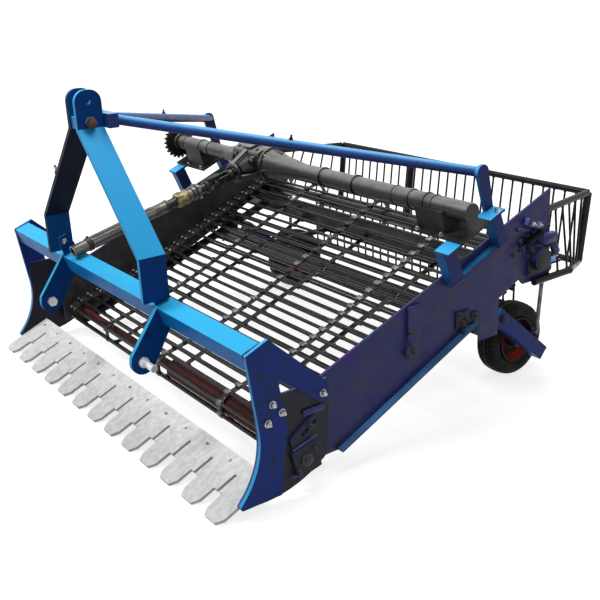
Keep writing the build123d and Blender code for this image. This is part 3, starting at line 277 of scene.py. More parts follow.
# Painted shade: the open end of the long housing tube is dark inside, with its faces that look
# along x near black
TUBE = surface(
    "tube_black", inner=(ACROSS, (0.003, 0.003, 0.003)), dust=(0.030, 0.029, 0.027), **CASTING)
DECK = surface(
    "deck_steel", (0.009, 0.009, 0.009), (0.026, 0.026, 0.025), rough=(0.34, 0.56), bump=0.35,
    grain=300.0, level=0.15, dust=(0.040, 0.039, 0.037))
# The rims: painted light on the faces that look up, painted shade on the others
RED = surface(
    "red_paint", (0.120, 0.010, 0.008), (0.340, 0.022, 0.014), rough=(0.34, 0.54), level=0.12,
    scale=14.0, painted_light=(LIGHT_WAY, 0.05, 0.60, (0.010, 0.0055, 0.006), (0.420, 0.035, 0.022)),
    chip=(0.012, 0.008, 0.007), chip_at=0.62, dust=(0.012, 0.007, 0.006))
PRIMER = surface(
    "brown_primer", (0.012, 0.006, 0.006), (0.110, 0.016, 0.012), rough=(0.45, 0.70), bump=0.3,
    level=0.15, scale=30.0, streak=(0.18, 1.6, 1.6), chip=(0.008, 0.007, 0.007), chip_at=0.54)

# Bare metals
BLADE = surface(
    "blade_paint", (0.45, 0.455, 0.455), (0.61, 0.61, 0.605), rough=(0.48, 0.66), bump=0.35,
    grain=500.0, scale=55.0, streak=(1, 0.8, 0.8), chip=(0.26, 0.26, 0.255), chip_at=0.65)
PIN = surface(
    "pin_steel", (0.76, 0.76, 0.75), (0.92, 0.92, 0.91), rough=(0.24, 0.40), metallic=0.4,
    scale=40.0)
STEEL = surface(
    "bright_steel", (0.12, 0.12, 0.12), (0.52, 0.52, 0.51), rough=(0.12, 0.28), metallic=1.0,
    scale=75.0, chip=(0.10, 0.09, 0.08), chip_at=0.64)
SHAFT = surface(
    "worn_shaft", (0.045, 0.041, 0.038), (0.200, 0.188, 0.175), rough=(0.24, 0.42),
    metallic=0.6, scale=22.0, streak=(6, 0.35, 1.2), chip=(0.06, 0.04, 0.03), chip_at=0.66)
ROD = surface(
    "rod_steel", (0.007, 0.007, 0.007), (0.028, 0.026, 0.025), rough=(0.16, 0.32),
    metallic=0.1, level=0.28, scale=30.0, streak=(0.3, 1, 1))
CLIP = surface(
    "clip_steel", (0.055, 0.053, 0.050), (0.220, 0.212, 0.200), rough=(0.28, 0.48),
    metallic=0.5, scale=34.0)
BRASS = surface(
    "worn_brass", (0.13, 0.100, 0.038), (0.34, 0.29, 0.14), rough=(0.30, 0.55), metallic=0.5,
    scale=60.0, chip=(0.022, 0.018, 0.012), chip_at=0.56)
RUST = surface(
    "rusty_steel", (0.060, 0.026, 0.016), (0.140, 0.070, 0.045), rough=(0.55, 0.8),
    metallic=0.3, scale=60.0, bump=0.5)
WELD = surface(
    "weld_metal", (0.020, 0.022, 0.035), (0.050, 0.055, 0.080), rough=(0.4, 0.6),
    metallic=0.3, bump=0.5)

# Rubber
RUBBER = surface(
    "belt_rubber", (0.006, 0.006, 0.006), (0.014, 0.013, 0.013), rough=(0.6, 0.8), bump=0.3,
    level=0.2, dust=(0.022, 0.020, 0.018))
TYRE = surface(
    "tyre_rubber", (0.003, 0.003, 0.003), (0.009, 0.008, 0.008), rough=(0.45, 0.75), bump=0.45,
    level=0.1, dust=(0.013, 0.011, 0.009))

# Materials of the nodes, by full name or by the name without its side
LOOK = {
    "share": BLADE, "gearbox": CAST, "drive_tube_left": TUBE, "drive_tube": CAST,
    "rod_web": ROD, "web_belts": RUBBER, "nose_roller": PRIMER, "rear_roller": ROD,
    "carrier_rollers": ROD, "cross_tube": BLACK, "rear_bearings": PLATE, "rear_grid": BLACK,
    "grid_arms": BLACK, "fence_rear": BLACK, "fence_side": BLACK, "input_shaft": ROD,
    "input_tube": SHAFT, "sprocket_shaft": ROD, "side_panel_left": PANELS["left"],
    "side_panel_right": PANELS["right"], "side_plate": PLATE, "wheel_beam": BLACK,
    "arm_brackets": PLATE, "crossbeam": MAST, "foot_lugs": MAST, "hitch_bracket": MAST,
    "hitch_pin": PIN, "mast_leg_right": SHADED_FAR_MAST, "mast_leg": MAST, "brace": BRACE,
    "brace_clevis": BRACE, "hoop": HOOP, "tube_mount": DECK, "depth_rod": STEEL,
    "tyre": TYRE, "rim": RED, "side_frame": BLUE, "arm": BLUE,
}
for name, node in nodes.items():
    stem = name.rsplit("_", 1)[0]
    node.data.materials.clear()
    node.data.materials.append(LOOK.get(name) or LOOK[stem])


# Mesh tools
def across(axis):
    """Two unit vectors square to an axis and to each other."""
    helper = Vector(ACROSS) if abs(axis.x) < 0.8 else Vector(UPWARD)
    u = (helper - axis * helper.dot(axis)).normalized()
    return u, axis.cross(u)


def mix_points(start, end, share):
    return tuple(a + (b - a) * share for a, b in zip(start, end))


def polar(centre, radius, angle):
    """A point of a plane at a radius and an angle from a centre."""
    return (centre[0] + radius * math.cos(angle), centre[1] + radius * math.sin(angle))


class Shape:
    """Gathers the points and faces of one piece."""

    def __init__(self):
        self.points = []
        self.faces = []

    def ring(self, points):
        start = len(self.points)
        self.points.extend(points)
        return list(range(start, start + len(points)))

    def skin(self, rings, capped=True):
        """Faces between rings that follow each other, and over the ends."""
        for low, high in zip(rings, rings[1:]):
            for i in range(len(low)):
                j = (i + 1) % len(low)
                self.faces.append((low[i], low[j], high[j], high[i]))
        if capped:
            self.faces.append(tuple(reversed(rings[0])))
            self.faces.append(tuple(rings[-1]))

    def lathe(self, base, axis, rows, sides=16, capped=True, turn=0.0):
        """Rings from rows of distance along an axis and radius."""
        base, axis = Vector(base), Vector(axis).normalized()
        u, v = across(axis)
        angles = [turn + TURN * i / sides for i in range(sides)]
        rings = []
        for place, radius in rows:
            rings.append(self.ring([
                base + axis * place + radius * (math.cos(a) * u + math.sin(a) * v)
                for a in angles
            ]))
        self.skin(rings, capped=capped)

    def bar(self, start, end, radius, sides=12, edge=0.6):
        """A round bar with a small chamfer at both ends."""
        run = Vector(end) - Vector(start)
        long = run.length
        rows = ((0, radius - edge), (edge, radius), (long - edge, radius), (long, radius - edge))
        self.lathe(start, run, rows, sides)

    def block(self, centre, u, v, size, bevel=1.0):
        """A block with broken edges: size along u, v and their normal."""
        u, v = Vector(u).normalized(), Vector(v).normalized()
        w = u.cross(v)
        a, b, c = (s / 2 for s in size)
        rings = []
        for height, inset in ((-c, bevel), (-c + bevel, 0), (c - bevel, 0), (c, bevel)):
            p, q, k = a - inset, b - inset, bevel
            outline = ((p, q - k), (p - k, q), (-p + k, q), (-p, q - k),
                       (-p, -q + k), (-p + k, -q), (p - k, -q), (p, -q + k))
            rings.append(self.ring([
                Vector(centre) + x * u + y * v + height * w for x, y in outline
            ]))
        self.skin(rings)

    def plate(self, outline, shift, bevel=1.0):
        """A flat outline of points, thickened along a vector, with broken edges."""
        shift = Vector(shift)
        way, thick = shift.normalized(), shift.length
        points = [Vector(p) for p in outline]
        centre = sum(points, Vector()) / len(points)
        rings = []
        for height, inset in ((0, bevel), (bevel, 0), (thick - bevel, 0), (thick, bevel)):
            rings.append(self.ring([
                p + (centre - p).normalized() * inset + way * height for p in points
            ]))
        self.skin(rings)

    def bolt(self, seat, axis, size=8.0, stud=0.0):
        """Washer, hexagon head with a domed top, and the end of its thread."""
        seat, axis = Vector(seat), Vector(axis).normalized()
        washer, half_pitch = 1.6, 1.2
        rim, head = size * 1.22, size * 0.85
        self.lathe(seat, axis, ((0, rim), (1.2, rim), (washer, size * 1.12)), 16)
        rows = ((0, size), (head * 0.82, size), (head, size * 0.84))
        self.lathe(seat + axis * washer, axis, rows, 6, turn=rng.uniform(0, 1))
        if stud:
            rows = []
            for i in range(int(stud / half_pitch)):
                rows.append((i * half_pitch, size * (0.5 if i % 2 else 0.58)))
            rows.append((stud, size * 0.4))
            self.lathe(seat + axis * (washer + head), axis, rows, 10)

    def bead(self, start, end, radius=3.0):
        """A weld's uneven bead along a joint."""
        start, end = Vector(start), Vector(end)
        run = end - start
        count = max(3, int(run.length / (radius * 0.8)))
        rows = [(0, radius * 0.3)]
        for i in range(1, count):
            wave = 1.0 if i % 2 else 0.82
            rows.append((run.length * i / count, radius * wave * rng.uniform(0.9, 1.1)))
        rows.append((run.length, radius * 0.3))
        self.lathe(start, run, rows, 6)

    def joint_ring(self, place, way, radius):
        """A low uneven ring of weld round a bar where it meets a rail."""
        rows = ((0, radius + 0.5), (1.2, radius + 2.2), (3.2, radius + 1.4), (4.2, radius + 0.3))
        self.lathe(place, way, rows, 8)

    def welded_bar(self, foot, head, radius, rail):
        """A bar between two rails of a radius, welded at both."""
        run = (Vector(head) - Vector(foot)).normalized()
        self.bar(foot, head, radius, 8, 0.3)
        self.joint_ring(Vector(foot) + run * (rail - 1.0), run, radius)
        self.joint_ring(Vector(head) - run * (rail - 1.0), -run, radius)

    def piece(self, name, material, body="frame", slot=None, smooth=38.0):
        """Turn what was gathered into a Blender object that rides on a body."""
        mesh = bpy.data.meshes.new(name)
        mesh.from_pydata([at(*p) for p in self.points], [], self.faces)
        faces = bmesh.new()
        faces.from_mesh(mesh)
        bmesh.ops.recalc_face_normals(faces, faces=faces.faces)
        faces.to_mesh(mesh)
        faces.free()
        for polygon in mesh.polygons:
            polygon.use_smooth = True
        mesh.set_sharp_from_angle(angle=math.radians(smooth))
        mesh.materials.append(material)
        thing = bpy.data.objects.new(name, mesh)
        bpy.context.scene.collection.objects.link(thing)
        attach(thing, body)
        return thing


# Rod web: its path round the nose, the bend and the drum, as in the source. Points of the
# side view are pairs of y and z
NOSE, NOSE_RADIUS = (-537.0, 116.0), 50.0
DRUM, DRUM_RADIUS = (462.0, 478.0), 60.0
CORNER, BEND_RADIUS = (-250.0, 234.0), 1500.0
ROD_RADIUS, ROD_HALF, ROD_SPACING = 5.5, 704, 45.0
BELT_X, PAD_X = 736.0, 738
STRIP_LINES = (-420.0, 0.0, 420.0)
# Section of a link strip: steps across and heights over the rods' centres
STRIP = ((-11, -9.5), (-11, -5.0), (-10, -4.4), (10, -4.4), (11, -5.0), (11, -9.5))
STRIP_STEPS = 4


def heading_of(start, end):
    return math.atan2(end[1] - start[1], end[0] - start[0])


front_slope = heading_of(NOSE, CORNER) - math.asin(NOSE_RADIUS / math.dist(NOSE, CORNER))
rear_slope = heading_of(CORNER, DRUM) + math.asin(DRUM_RADIUS / math.dist(CORNER, DRUM))
radius_gain = (DRUM_RADIUS - NOSE_RADIUS) / math.dist(NOSE, DRUM)
low_slope = heading_of(NOSE, DRUM) - math.asin(radius_gain)
half_bend = (rear_slope - front_slope) / 2
bend_centre = polar(
    CORNER, BEND_RADIUS / math.cos(half_bend), (front_slope + rear_slope) / 2 + QUARTER)


def on_nose(angle):
    return polar(NOSE, NOSE_RADIUS, angle)


def on_bend(angle):
    return polar(bend_centre, BEND_RADIUS, angle)


def on_drum(angle):
    return polar(DRUM, DRUM_RADIUS, angle)


# Runs of the path: straight from point to point, or centre, radius, first angle and turn
RUNS = (
    (on_nose(front_slope + QUARTER), on_bend(front_slope - QUARTER)),
    (bend_centre, BEND_RADIUS, front_slope - QUARTER, rear_slope - front_slope),
    (on_bend(rear_slope - QUARTER), on_drum(rear_slope + QUARTER)),
    (DRUM, DRUM_RADIUS, rear_slope + QUARTER, low_slope - rear_slope - math.pi),
    (on_drum(low_slope - QUARTER), on_nose(low_slope - QUARTER)),
    (NOSE, NOSE_RADIUS, low_slope - QUARTER, front_slope - low_slope - math.pi),
)


def run_length(run):
    return math.dist(*run) if len(run) == 2 else abs(run[1] * run[3])


def web_station(place):
    """Point of the side view and heading at a distance along the web."""
    for run in RUNS:
        long = run_length(run)
        if place <= long:
            break
        place -= long
    if len(run) == 2:
        return *mix_points(*run, place / long), heading_of(*run)
    centre, radius, first_angle, turn = run
    angle = first_angle + turn * place / long
    return *polar(centre, radius, angle), angle + math.copysign(QUARTER, turn)


def web_point(x, station, lift):
    """A point of the web at a height square to its run, outward of the rods' centres."""
    y, z, heading = station
    return (x, y - math.sin(heading) * lift, z + math.cos(heading) * lift)


def web_ways(station):
    """The direction of the web's run and the one out of the web."""
    heading = station[2]
    return ((0, math.cos(heading), math.sin(heading)),
            (0, -math.sin(heading), math.cos(heading)))


web_length = sum(run_length(run) for run in RUNS)
rod_count = round(web_length / ROD_SPACING)
stations = [web_station(web_length * k / rod_count) for k in range(rod_count)]

rods, rivets, clips = Shape(), Shape(), Shape()
for station in stations:
    run_way, outward = web_ways(station)
    y, z, heading = station
    rods.bar((-ROD_HALF, y, z), (ROD_HALF, y, z), ROD_RADIUS, 12, 0.2)
    for sign in (-1, 1):
        rods.block(web_point(sign * PAD_X, station, -1.6), ACROSS, run_way, (78, 17, 6), 1.6)
        for step in (-16, 16):
            seat = web_point(sign * (BELT_X + step), station, 1.4)
            rivets.lathe(seat, outward, ((0, 6.5), (1.4, 6.2), (2.8, 4.2), (3.5, 1.5)), 10)
for x in STRIP_LINES:
    rings = []
    steps = rod_count * STRIP_STEPS
    for i in range(steps):
        station = web_station(web_length * i / steps)
        rings.append(rods.ring([
            Vector(web_point(x + step, station, lift)) for step, lift in STRIP
        ]))
    rods.skin(rings + rings[:1], capped=False)
    for k, station in enumerate(stations):
        # The near line's clips are all worn bright, and a few of the other lines'
        bright_clip = x > 0 or (x == 0 and k % 3 == 0) or k % 7 == 0
        target, wide = (clips, 27) if bright_clip else (rods, 23)
        run_way, outward = web_ways(station)
        target.block(web_point(x, station, -1.2), ACROSS, run_way, (wide, 19, 14.5), 2.2)
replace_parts(rods.piece("web_rods", ROD, slot="dark_steel"), "rod_web")
rivets.piece("web_rivets", CLIP, slot="dark_steel")
clips.piece("web_clips", CLIP, slot="dark_steel")

# Tyres with ribs and cross cuts, pressed rims with their nuts, hub caps
AXLE = (508.0, 135.0)
TYRE_IN, TYRE_OUT = 620.0, 700.0
TYRE_MIDDLE = (TYRE_IN + TYRE_OUT) / 2
TYRE_SIDES, RIM_SIDES = 160, 64
TREAD_RADIUS, CENTRE_RIB, SHOULDER, CUT_DEPTH = 129.9, 12, 22, 3.6
NUT_COUNT, NUT_CIRCLE = 5, 42
# Half of the tyre's section: steps from its middle and radii, from the tread to the bead
TYRE_HALF = (
    (0, 134.8), (7, 134.7), (8, 130.5), (11, 130.5), (12, 134.4), (21, 133.6), (22, 129.4),
    (25, 129.2), (26, 132.6), (33, 130.0), (37, 126.0), (39, 119.0), (39.6, 112.0), (40, 104.0),
    (39.2, 103.4), (39.4, 98.0), (38.2, 97.4), (36.8, 90.0), (33.5, 85.0), (31, 81.0), (26, 80.2),
)
# Section of the rim: steps from the tyre's outer face and radii, round the hub and back from
# its inner face
RIM_FRONT = (
    (-5, 79.5), (-3, 82), (-1, 82), (0, 80), (-1, 77), (-12, 73.5), (-24, 70), (-30, 66),
    (-34, 58), (-30, 52), (-29, 40), (-29, 30), (-26, 28), (2, 28), (5, 26), (6, 22), (6, 15.1),
)
RIM_BACK = ((-66, 15.1), (-66, 28), (-40, 30), (-38, 56), (-40, 66), (-60, 69), (-74, 74),
            (-76, 79.5))
tyre_rows = [(TYRE_MIDDLE + step, radius) for step, radius in TYRE_HALF]
tyre_rows += [(TYRE_MIDDLE - step, radius) for step, radius in reversed(TYRE_HALF)]
rim_rows = [(TYRE_OUT + step, radius) for step, radius in RIM_FRONT + RIM_BACK]


def turned_rows(shape, rows, sides, sign, bite=None):
    """Closed section of rows of x and radius, turned about a wheel's axle."""
    rings = []
    for k, (x, radius) in enumerate(rows):
        points = []
        for i in range(sides):
            r = radius - (bite(k, i) if bite else 0)
            points.append(Vector((sign * x, *polar(AXLE, r, TURN * i / sides))))
        rings.append(shape.ring(points))
    shape.skin(rings + rings[:1], capped=False)


def tread_cut(k, i):
    """Depth of the cross cuts at a row and a side. The shoulders' cuts lie between the ribs'."""
    x, radius = tyre_rows[k]
    off = abs(x - TYRE_MIDDLE)
    if radius < TREAD_RADIUS or off < CENTRE_RIB:
        return 0.0
    return CUT_DEPTH if (i + (2 if off > SHOULDER else 0)) % 4 == 0 else 0.0


for side, sign in SIDES:
    out, wheel = (sign, 0, 0), "wheel_" + side
    tyre = Shape()
    turned_rows(tyre, tyre_rows, TYRE_SIDES, sign, tread_cut)
    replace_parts(tyre.piece("tyre_tread_" + side, TYRE, wheel, "tyre", 30), "tyre_" + side)
    rim = Shape()
    turned_rows(rim, rim_rows, RIM_SIDES, sign)
    for i in range(NUT_COUNT):
        place = polar(AXLE, NUT_CIRCLE, TURN * i / NUT_COUNT + 0.3)
        rim.bolt((sign * (TYRE_OUT - 29.5), *place), out, 6.5, 6)
    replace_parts(rim.piece("rim_disc_" + side, RED, wheel, "red_paint"), "rim_" + side)
    cap = Shape()
    axle_y, axle_z = AXLE
    rows = ((0, 22), (2, 22), (4, 19), (5, 15.2))
    cap.lathe((sign * (TYRE_OUT + 6), axle_y, axle_z), out, rows, 24)
    valve_foot = (sign * (TYRE_OUT - 20), axle_y, axle_z + 71)
    cap.bar(valve_foot, (sign * (TYRE_OUT - 4), axle_y, axle_z + 66), 3, 8)
    cap.piece("hub_cap_" + side, CAST, wheel, "dark_steel")

# Fence and grid as round bars, with a weld at each joint
FENCE_HALF, FENCE_POST_X, FENCE_GAPS = 700.0, -226.0, 28
RAIL_RADIUS, BAR_RADIUS = 12, 4
fence = Shape()
for y, z in (FENCE_LOW, FENCE_TOP):
    fence.bar((-FENCE_HALF, y, z), (FENCE_HALF, y, z), RAIL_RADIUS, 16)
for x in (-FENCE_HALF, FENCE_POST_X, FENCE_HALF):
    fence.bar((x, *FENCE_LOW), (x, *FENCE_TOP), FENCE_POST_RADIUS, 16)
    foot = (x, *mix_points(FENCE_LOW, FENCE_TOP, 0.045))
    fence.joint_ring(foot, (0, math.sin(fence_lean), math.cos(fence_lean)), FENCE_POST_RADIUS)
for k in range(1, FENCE_GAPS):
    x = 2 * FENCE_HALF / FENCE_GAPS * k - FENCE_HALF
    fence.welded_bar((x, *FENCE_LOW), (x, *FENCE_TOP), BAR_RADIUS, RAIL_RADIUS)
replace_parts(fence.piece("fence_bars_rear", BLACK, slot="black_paint"), "fence_rear")

# Side parts of the fence: an upper rail from the hoop's post, and a lower one from the panel
UPPER_START, LOWER_START = (779.7, 500.0, 627.0), (812.3, 440.0, 400.0)
LOWER_BEND = (812.3, 626.0, 400.0)
SIDE_BARS, SIDE_BAR_LEAN = 7, 37.0
for side, sign in SIDES:
    shape = Shape()
    upper_start, low_start, low_bend = (
        (sign * x, y, z) for x, y, z in (UPPER_START, LOWER_START, LOWER_BEND))
    corner_top, corner_low = (sign * FENCE_HALF, *FENCE_TOP), (sign * FENCE_HALF, *FENCE_LOW)
    shape.bar(upper_start, mix_points(upper_start, corner_top, 0.965), RAIL_RADIUS, 16)
    shape.bar(low_start, low_bend, RAIL_RADIUS, 16)
    slant_start = mix_points(low_bend, corner_low, -0.02)
    shape.bar(slant_start, mix_points(low_bend, corner_low, 0.94), RAIL_RADIUS, 16)
    rows = ((0, 12.3), (2, 13.4), (5, 13.2), (7, 12.2))
    shape.lathe(mix_points(low_start, low_bend, 0.99), REARWARD, rows, 16)
    for k in range(1, SIDE_BARS):
        head = mix_points(upper_start, corner_top, k / SIDE_BARS)
        foot_y = head[1] - SIDE_BAR_LEAN
        share = (foot_y - low_bend[1]) / (corner_low[1] - low_bend[1])
        foot = mix_points(low_bend, corner_low, max(share, 0))
        shape.welded_bar((foot[0], foot_y, foot[2]), head, BAR_RADIUS, RAIL_RADIUS)
    fence_side = shape.piece("fence_bars_" + side, BLACK, slot="black_paint")
    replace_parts(fence_side, "fence_side_" + side)

GRID_HALF, GRID_Y, GRID_LOW, GRID_TOP = 595, 600, 215.0, 400.0
GRID_GAPS, GRID_RAIL_RADIUS = 24, 8
grid = Shape()
for z in (GRID_LOW, GRID_TOP):
    grid.bar((-GRID_HALF, GRID_Y, z), (GRID_HALF, GRID_Y, z), GRID_RAIL_RADIUS, 12)
for k in range(GRID_GAPS + 1):
    x = 2 * GRID_HALF / GRID_GAPS * k - GRID_HALF
    foot, head = (x, GRID_Y, GRID_LOW), (x, GRID_Y, GRID_TOP)
    grid.welded_bar(foot, head, BAR_RADIUS, GRID_RAIL_RADIUS)
grid.block((0, 596, 284), ACROSS, UPWARD, (2 * GRID_HALF, 20, 7.6), 0.8)
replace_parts(grid.piece("grid_bars", BLACK, slot="black_paint"), "rear_grid")

# Propeller shaft: forks, cross with its caps, brass ring, joint body and splined ends. It
# starts in the middle of the gearbox, on the axis of the cross shaft
SHAFT_Y, SHAFT_Z = 70, 720
BOX_X = -260.0
DRIVE_SLOPE = math.radians(14.0)
DRIVE = Vector((0, -math.cos(DRIVE_SLOPE), -math.sin(DRIVE_SLOPE)))
DRIVE_UP = Vector((0, -math.sin(DRIVE_SLOPE), math.cos(DRIVE_SLOPE)))
JOINT, FORK_RADIUS, FORK_STEPS = 200, 15, 10
# Count and circle of the small bars round the brass ring, and of the ribs along the tube
GRIPS, GRIP_CIRCLE = 10, 28
RIBS, RIB_CIRCLE = 6, 21.4


def drive_point(t, side_step=0.0, lift=0.0):
    """A point at a distance along the drive line, beside it and above it."""
    return Vector((BOX_X + side_step, SHAFT_Y, SHAFT_Z)) + DRIVE * t + DRIVE_UP * lift


def on_drive(shape, rows, sides=24, capped=True):
    shape.lathe(drive_point(0), DRIVE, rows, sides, capped)


shaft = Shape()
on_drive(shaft, ((32, 14), (33, 15), (110, 15), (112, 17), (130, 17), (131, 24), (134, 26),
                 (150, 26), (154, 24), (156, 18)))
on_drive(shaft, ((244, 18), (246, 24), (250, 26), (258, 26), (262, 23), (264, 18.4),
                 (288, 18.4)))
on_drive(shaft, ((393, 18), (395, 20), (399, 20), (400, 18), (699, 18)), 20)
# Forks: the way they open, where they start, and whether they stand across
for way, start, crossed in ((1, 150, False), (-1, 250, True)):
    wide_axis = Vector(ACROSS) if crossed else DRIVE_UP
    outline = [(start, -FORK_RADIUS), (start, FORK_RADIUS)]
    for i in range(FORK_STEPS + 1):
        a = math.pi * i / FORK_STEPS
        outline.append((JOINT + way * FORK_RADIUS * math.sin(a), FORK_RADIUS * math.cos(a)))
    for sign in (-1, 1):
        thin_axis = DRIVE_UP * sign if crossed else Vector((sign, 0, 0))
        points = [drive_point(t) + wide_axis * w + thin_axis * 17 for t, w in outline]
        shaft.plate(points, thin_axis * 9, 1.4)
for way in (DRIVE_UP, Vector(ACROSS)):
    rows = ((0, 8), (8, 8), (10, 10.5), (24, 10.5), (26, 8), (34, 8))
    shaft.lathe(drive_point(JOINT) - way * 17, way, rows, 16)
shaft.bolt(drive_point(142) + DRIVE_UP * 25.5, DRIVE_UP, 5.5)
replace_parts(shaft.piece("shaft_and_forks", ROD, "input_shaft", "dark_steel"), "input_shaft")

brass = Shape()
for cross_way in (DRIVE_UP, Vector(ACROSS)):
    for sign in (-1, 1):
        way = cross_way * sign
        rows = ((0, 9), (10.4, 9), (11, 8.2), (10.2, 5.5), (9.4, 0.6))
        brass.lathe(drive_point(JOINT) + way * 15, way, rows, 18)
on_drive(brass, ((343, 20), (344, 26), (346, 28.5), (352, 28.5), (354, 26.5), (366, 25.5),
                 (368, 28.5), (388, 28.5), (392, 26), (395, 20)), 28)
for i in range(GRIPS):
    x, lift = polar((0, 0), GRIP_CIRCLE, TURN * i / GRIPS)
    brass.bar(drive_point(369, x, lift), drive_point(388, x, lift), 1.9, 6)
brass.piece("joint_caps_and_ring", BRASS, "input_shaft", "dark_steel")

joint = Shape()
on_drive(joint, ((288, 20), (290, 27), (293, 30), (303, 30), (305, 24), (311, 24), (313, 29),
                 (322, 29), (324, 23), (332, 23), (334, 26.5), (341, 26.5), (343, 20)))
for i in range(4):
    a = QUARTER * (i + 0.5)
    way = DRIVE_UP * math.cos(a) + Vector((math.sin(a), 0, 0))
    joint.bolt(drive_point(298) + way * 29.6, way, 5.2)
joint.piece("joint_body", CLIP, "input_shaft", "dark_steel")

sleeve = Shape()
for i in range(RIBS):
    x, lift = polar((0, 0), RIB_CIRCLE, TURN * i / RIBS)
    sleeve.bar(drive_point(492, x, lift), drive_point(748, x, lift), 3.0, 8)
on_drive(sleeve, ((429.9, 18.2), (430, 22.4), (431, 24), (440, 24), (442, 22.3), (443, 18.2)),
         capped=False)
for t in (470, 478, 486):
    on_drive(sleeve, ((t, 21.9), (t + 1, 22.6), (t + 3, 22.6), (t + 4, 21.9)), capped=False)
on_drive(sleeve, ((752, 21.9), (754, 25), (772, 25), (774, 21.9)), capped=False)
sleeve.bolt(drive_point(763) + DRIVE_UP * 24.8, DRIVE_UP, 5)
sleeve.piece("tube_rings", CAST, "input_tube", "black_paint")

# Depth screws with their threads and nuts. The arm's slanting top decides where they start
SCREW_LOW, SCREW_HIGH = (750, 543, 118), (750, 572, 500)
SCREW_START, THREAD_STEP, THREAD_ROWS = 46.0, 4.0, range(16, 88)
for side, sign in SIDES:
    low, high = (Vector((sign * x, y, z)) for x, y, z in (SCREW_LOW, SCREW_HIGH))
    way = (high - low).normalized()
    rows = [(SCREW_START, 6.2)]
    for i in THREAD_ROWS:
        rows.append((i * THREAD_STEP, 8.0 if i % 2 else 6.9))
    rows += [(360, 7.0), (362, 12), (380, 12), (382.5, 9)]
    screw, nuts = Shape(), Shape()
    screw.lathe(low, way, rows, 14)
    thing = screw.piece("depth_screw_" + side, CLIP, "arm_" + side, "dark_steel")
    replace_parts(thing, "depth_rod_" + side)
    for t in (300, 318):
        nuts.lathe(low, way, ((t, 13), (t + 1, 14), (t + 10, 14), (t + 11, 13)), 6)
    nuts.lathe(low, way, ((52, 15), (54, 15), (54.5, 14), (64, 14), (65, 13)), 6)
    nuts.piece("depth_nuts_" + side, CLIP, "arm_" + side, "dark_steel")

# Points of the side view in the slopes of the source: the decks' from the cross shaft, and
# the crossbeam's from its middle
DECK_SLOPE, BEAM_SLOPE = 22.0, 18.0
BEAM_CENTRE = (-703.0, 466.0)
DECK_UP = Vector((0, -math.sin(math.radians(DECK_SLOPE)), math.cos(math.radians(DECK_SLOPE))))


def deck(s, n, slope=DECK_SLOPE, origin=(SHAFT_Y, SHAFT_Z)):
    c, d = math.cos(math.radians(slope)), math.sin(math.radians(slope))
    return (origin[0] + s * c - n * d, origin[1] + s * d + n * c)


def beam_point(s, n):
    return deck(s, n, BEAM_SLOPE, BEAM_CENTRE)


def side_bolts(shape, sign, rows):
    """Bolts that look outward, from rows of x, y, z, size and stud."""
    for x, y, z, size, stud in rows:
        shape.bolt((sign * x, y, z), (sign, 0, 0), size, stud)


# Bright bolts: side frames, rear brackets, mounts, foot lugs and the far mast leg
BRIGHT_SIDE_BOLTS = (
    (850, -492, 302, 9.5, 7), (850, -664, 322, 9.5, 7), (850, -634, 289, 9.5, 7),
    (850, -682, 270, 9.5, 7), (822, 408, 612, 6.5, 9), (822, 439, 603, 6.5, 9),
    (806, 552, 472, 7, 5),
)
bright = Shape()
for side, sign in SIDES:
    side_bolts(bright, sign, BRIGHT_SIDE_BOLTS)
    bright.bolt((sign * 846, *deck(118, -73.5)), DECK_UP, 7.5, 5)
    for x in (668, 772):
        for s in (-57, 52):
            bright.bolt((sign * x, *deck(s, -65.5)), DECK_UP, 7.5, 5)
    bright.bolt((sign * 340, -729, 541), (-sign, 0, 0), 9, 5)
bright.bolt((-197, -775, 820), (-0.718, 0, 0.696), 9, 20)
bright.piece("bright_bolts", STEEL, slot="bright_steel")

# Dark bolts: straps, panels, housings, bearing boxes, lugs and the gearbox
HOUSING_STEPS, BEARING = (-39, 39), (850, -556, 112)
STRAP_BOLTS = ((-120, 370), (-103, 302), (-132, 304), (-116, 329))
PANEL_BOLTS = ((412, 560), (347, 512), (412, 498), (445, 519))
CLAMP_BOLTS = ((92, 372), (126, 350), (110, 334), (168, 352), (163, 322))
FLANGES, FLANGE_BOLTS, FLANGE_CIRCLE = ((-348, -1), (-172, 1)), 8, 61
DARK_SIDE_BOLTS = (
    *((810, y, z, 8, 5) for y, z in STRAP_BOLTS),
    *((800, y, z, 8, 6) for y, z in PANEL_BOLTS),
    *((808, y, z, 7.5, 8) for y, z in CLAMP_BOLTS),
    *((810, DRUM[0] + dy, DRUM[1] + dz, 8, 5) for dy in HOUSING_STEPS for dz in HOUSING_STEPS),
    (850, -585, 84, 7, 4), (850, -527, 138, 7, 4),
    (847, -538, 213, 7.5, 4), (787, 329, 288, 11, 5),
)
dark = Shape()
for side, sign in SIDES:
    side_bolts(dark, sign, DARK_SIDE_BOLTS)
    x, y, z = BEARING
    rows = ((0, 21), (3, 21), (4.5, 17), (4.6, 9), (8, 8.4), (8.4, 0.5))
    dark.lathe((sign * x, y, z), (sign, 0, 0), rows, 20)
for flange_x, way in FLANGES:
    for i in range(FLANGE_BOLTS):
        place = polar((SHAFT_Y, SHAFT_Z), FLANGE_CIRCLE, TURN * (i + 0.5) / FLANGE_BOLTS)
        dark.bolt((flange_x + way * 12, *place), (way, 0, 0), 4.6)


def box_point(dx, s, n):
    """A point of the gearbox: steps across, to the rear and up from its middle."""
    return Vector((BOX_X + dx, SHAFT_Y, SHAFT_Z)) - DRIVE * s + DRIVE_UP * n


for dx in (-62, 62):
    for s in (-30, 46):
        dark.bolt(box_point(dx, s, 66), DRIVE_UP, 6.5)
for dx, n in ((-66, 44), (66, 44), (-66, -44), (66, -44)):
    dark.bolt(box_point(dx, -52, n), DRIVE, 6.5)
dark.piece("dark_bolts", CAST, slot="black_paint")

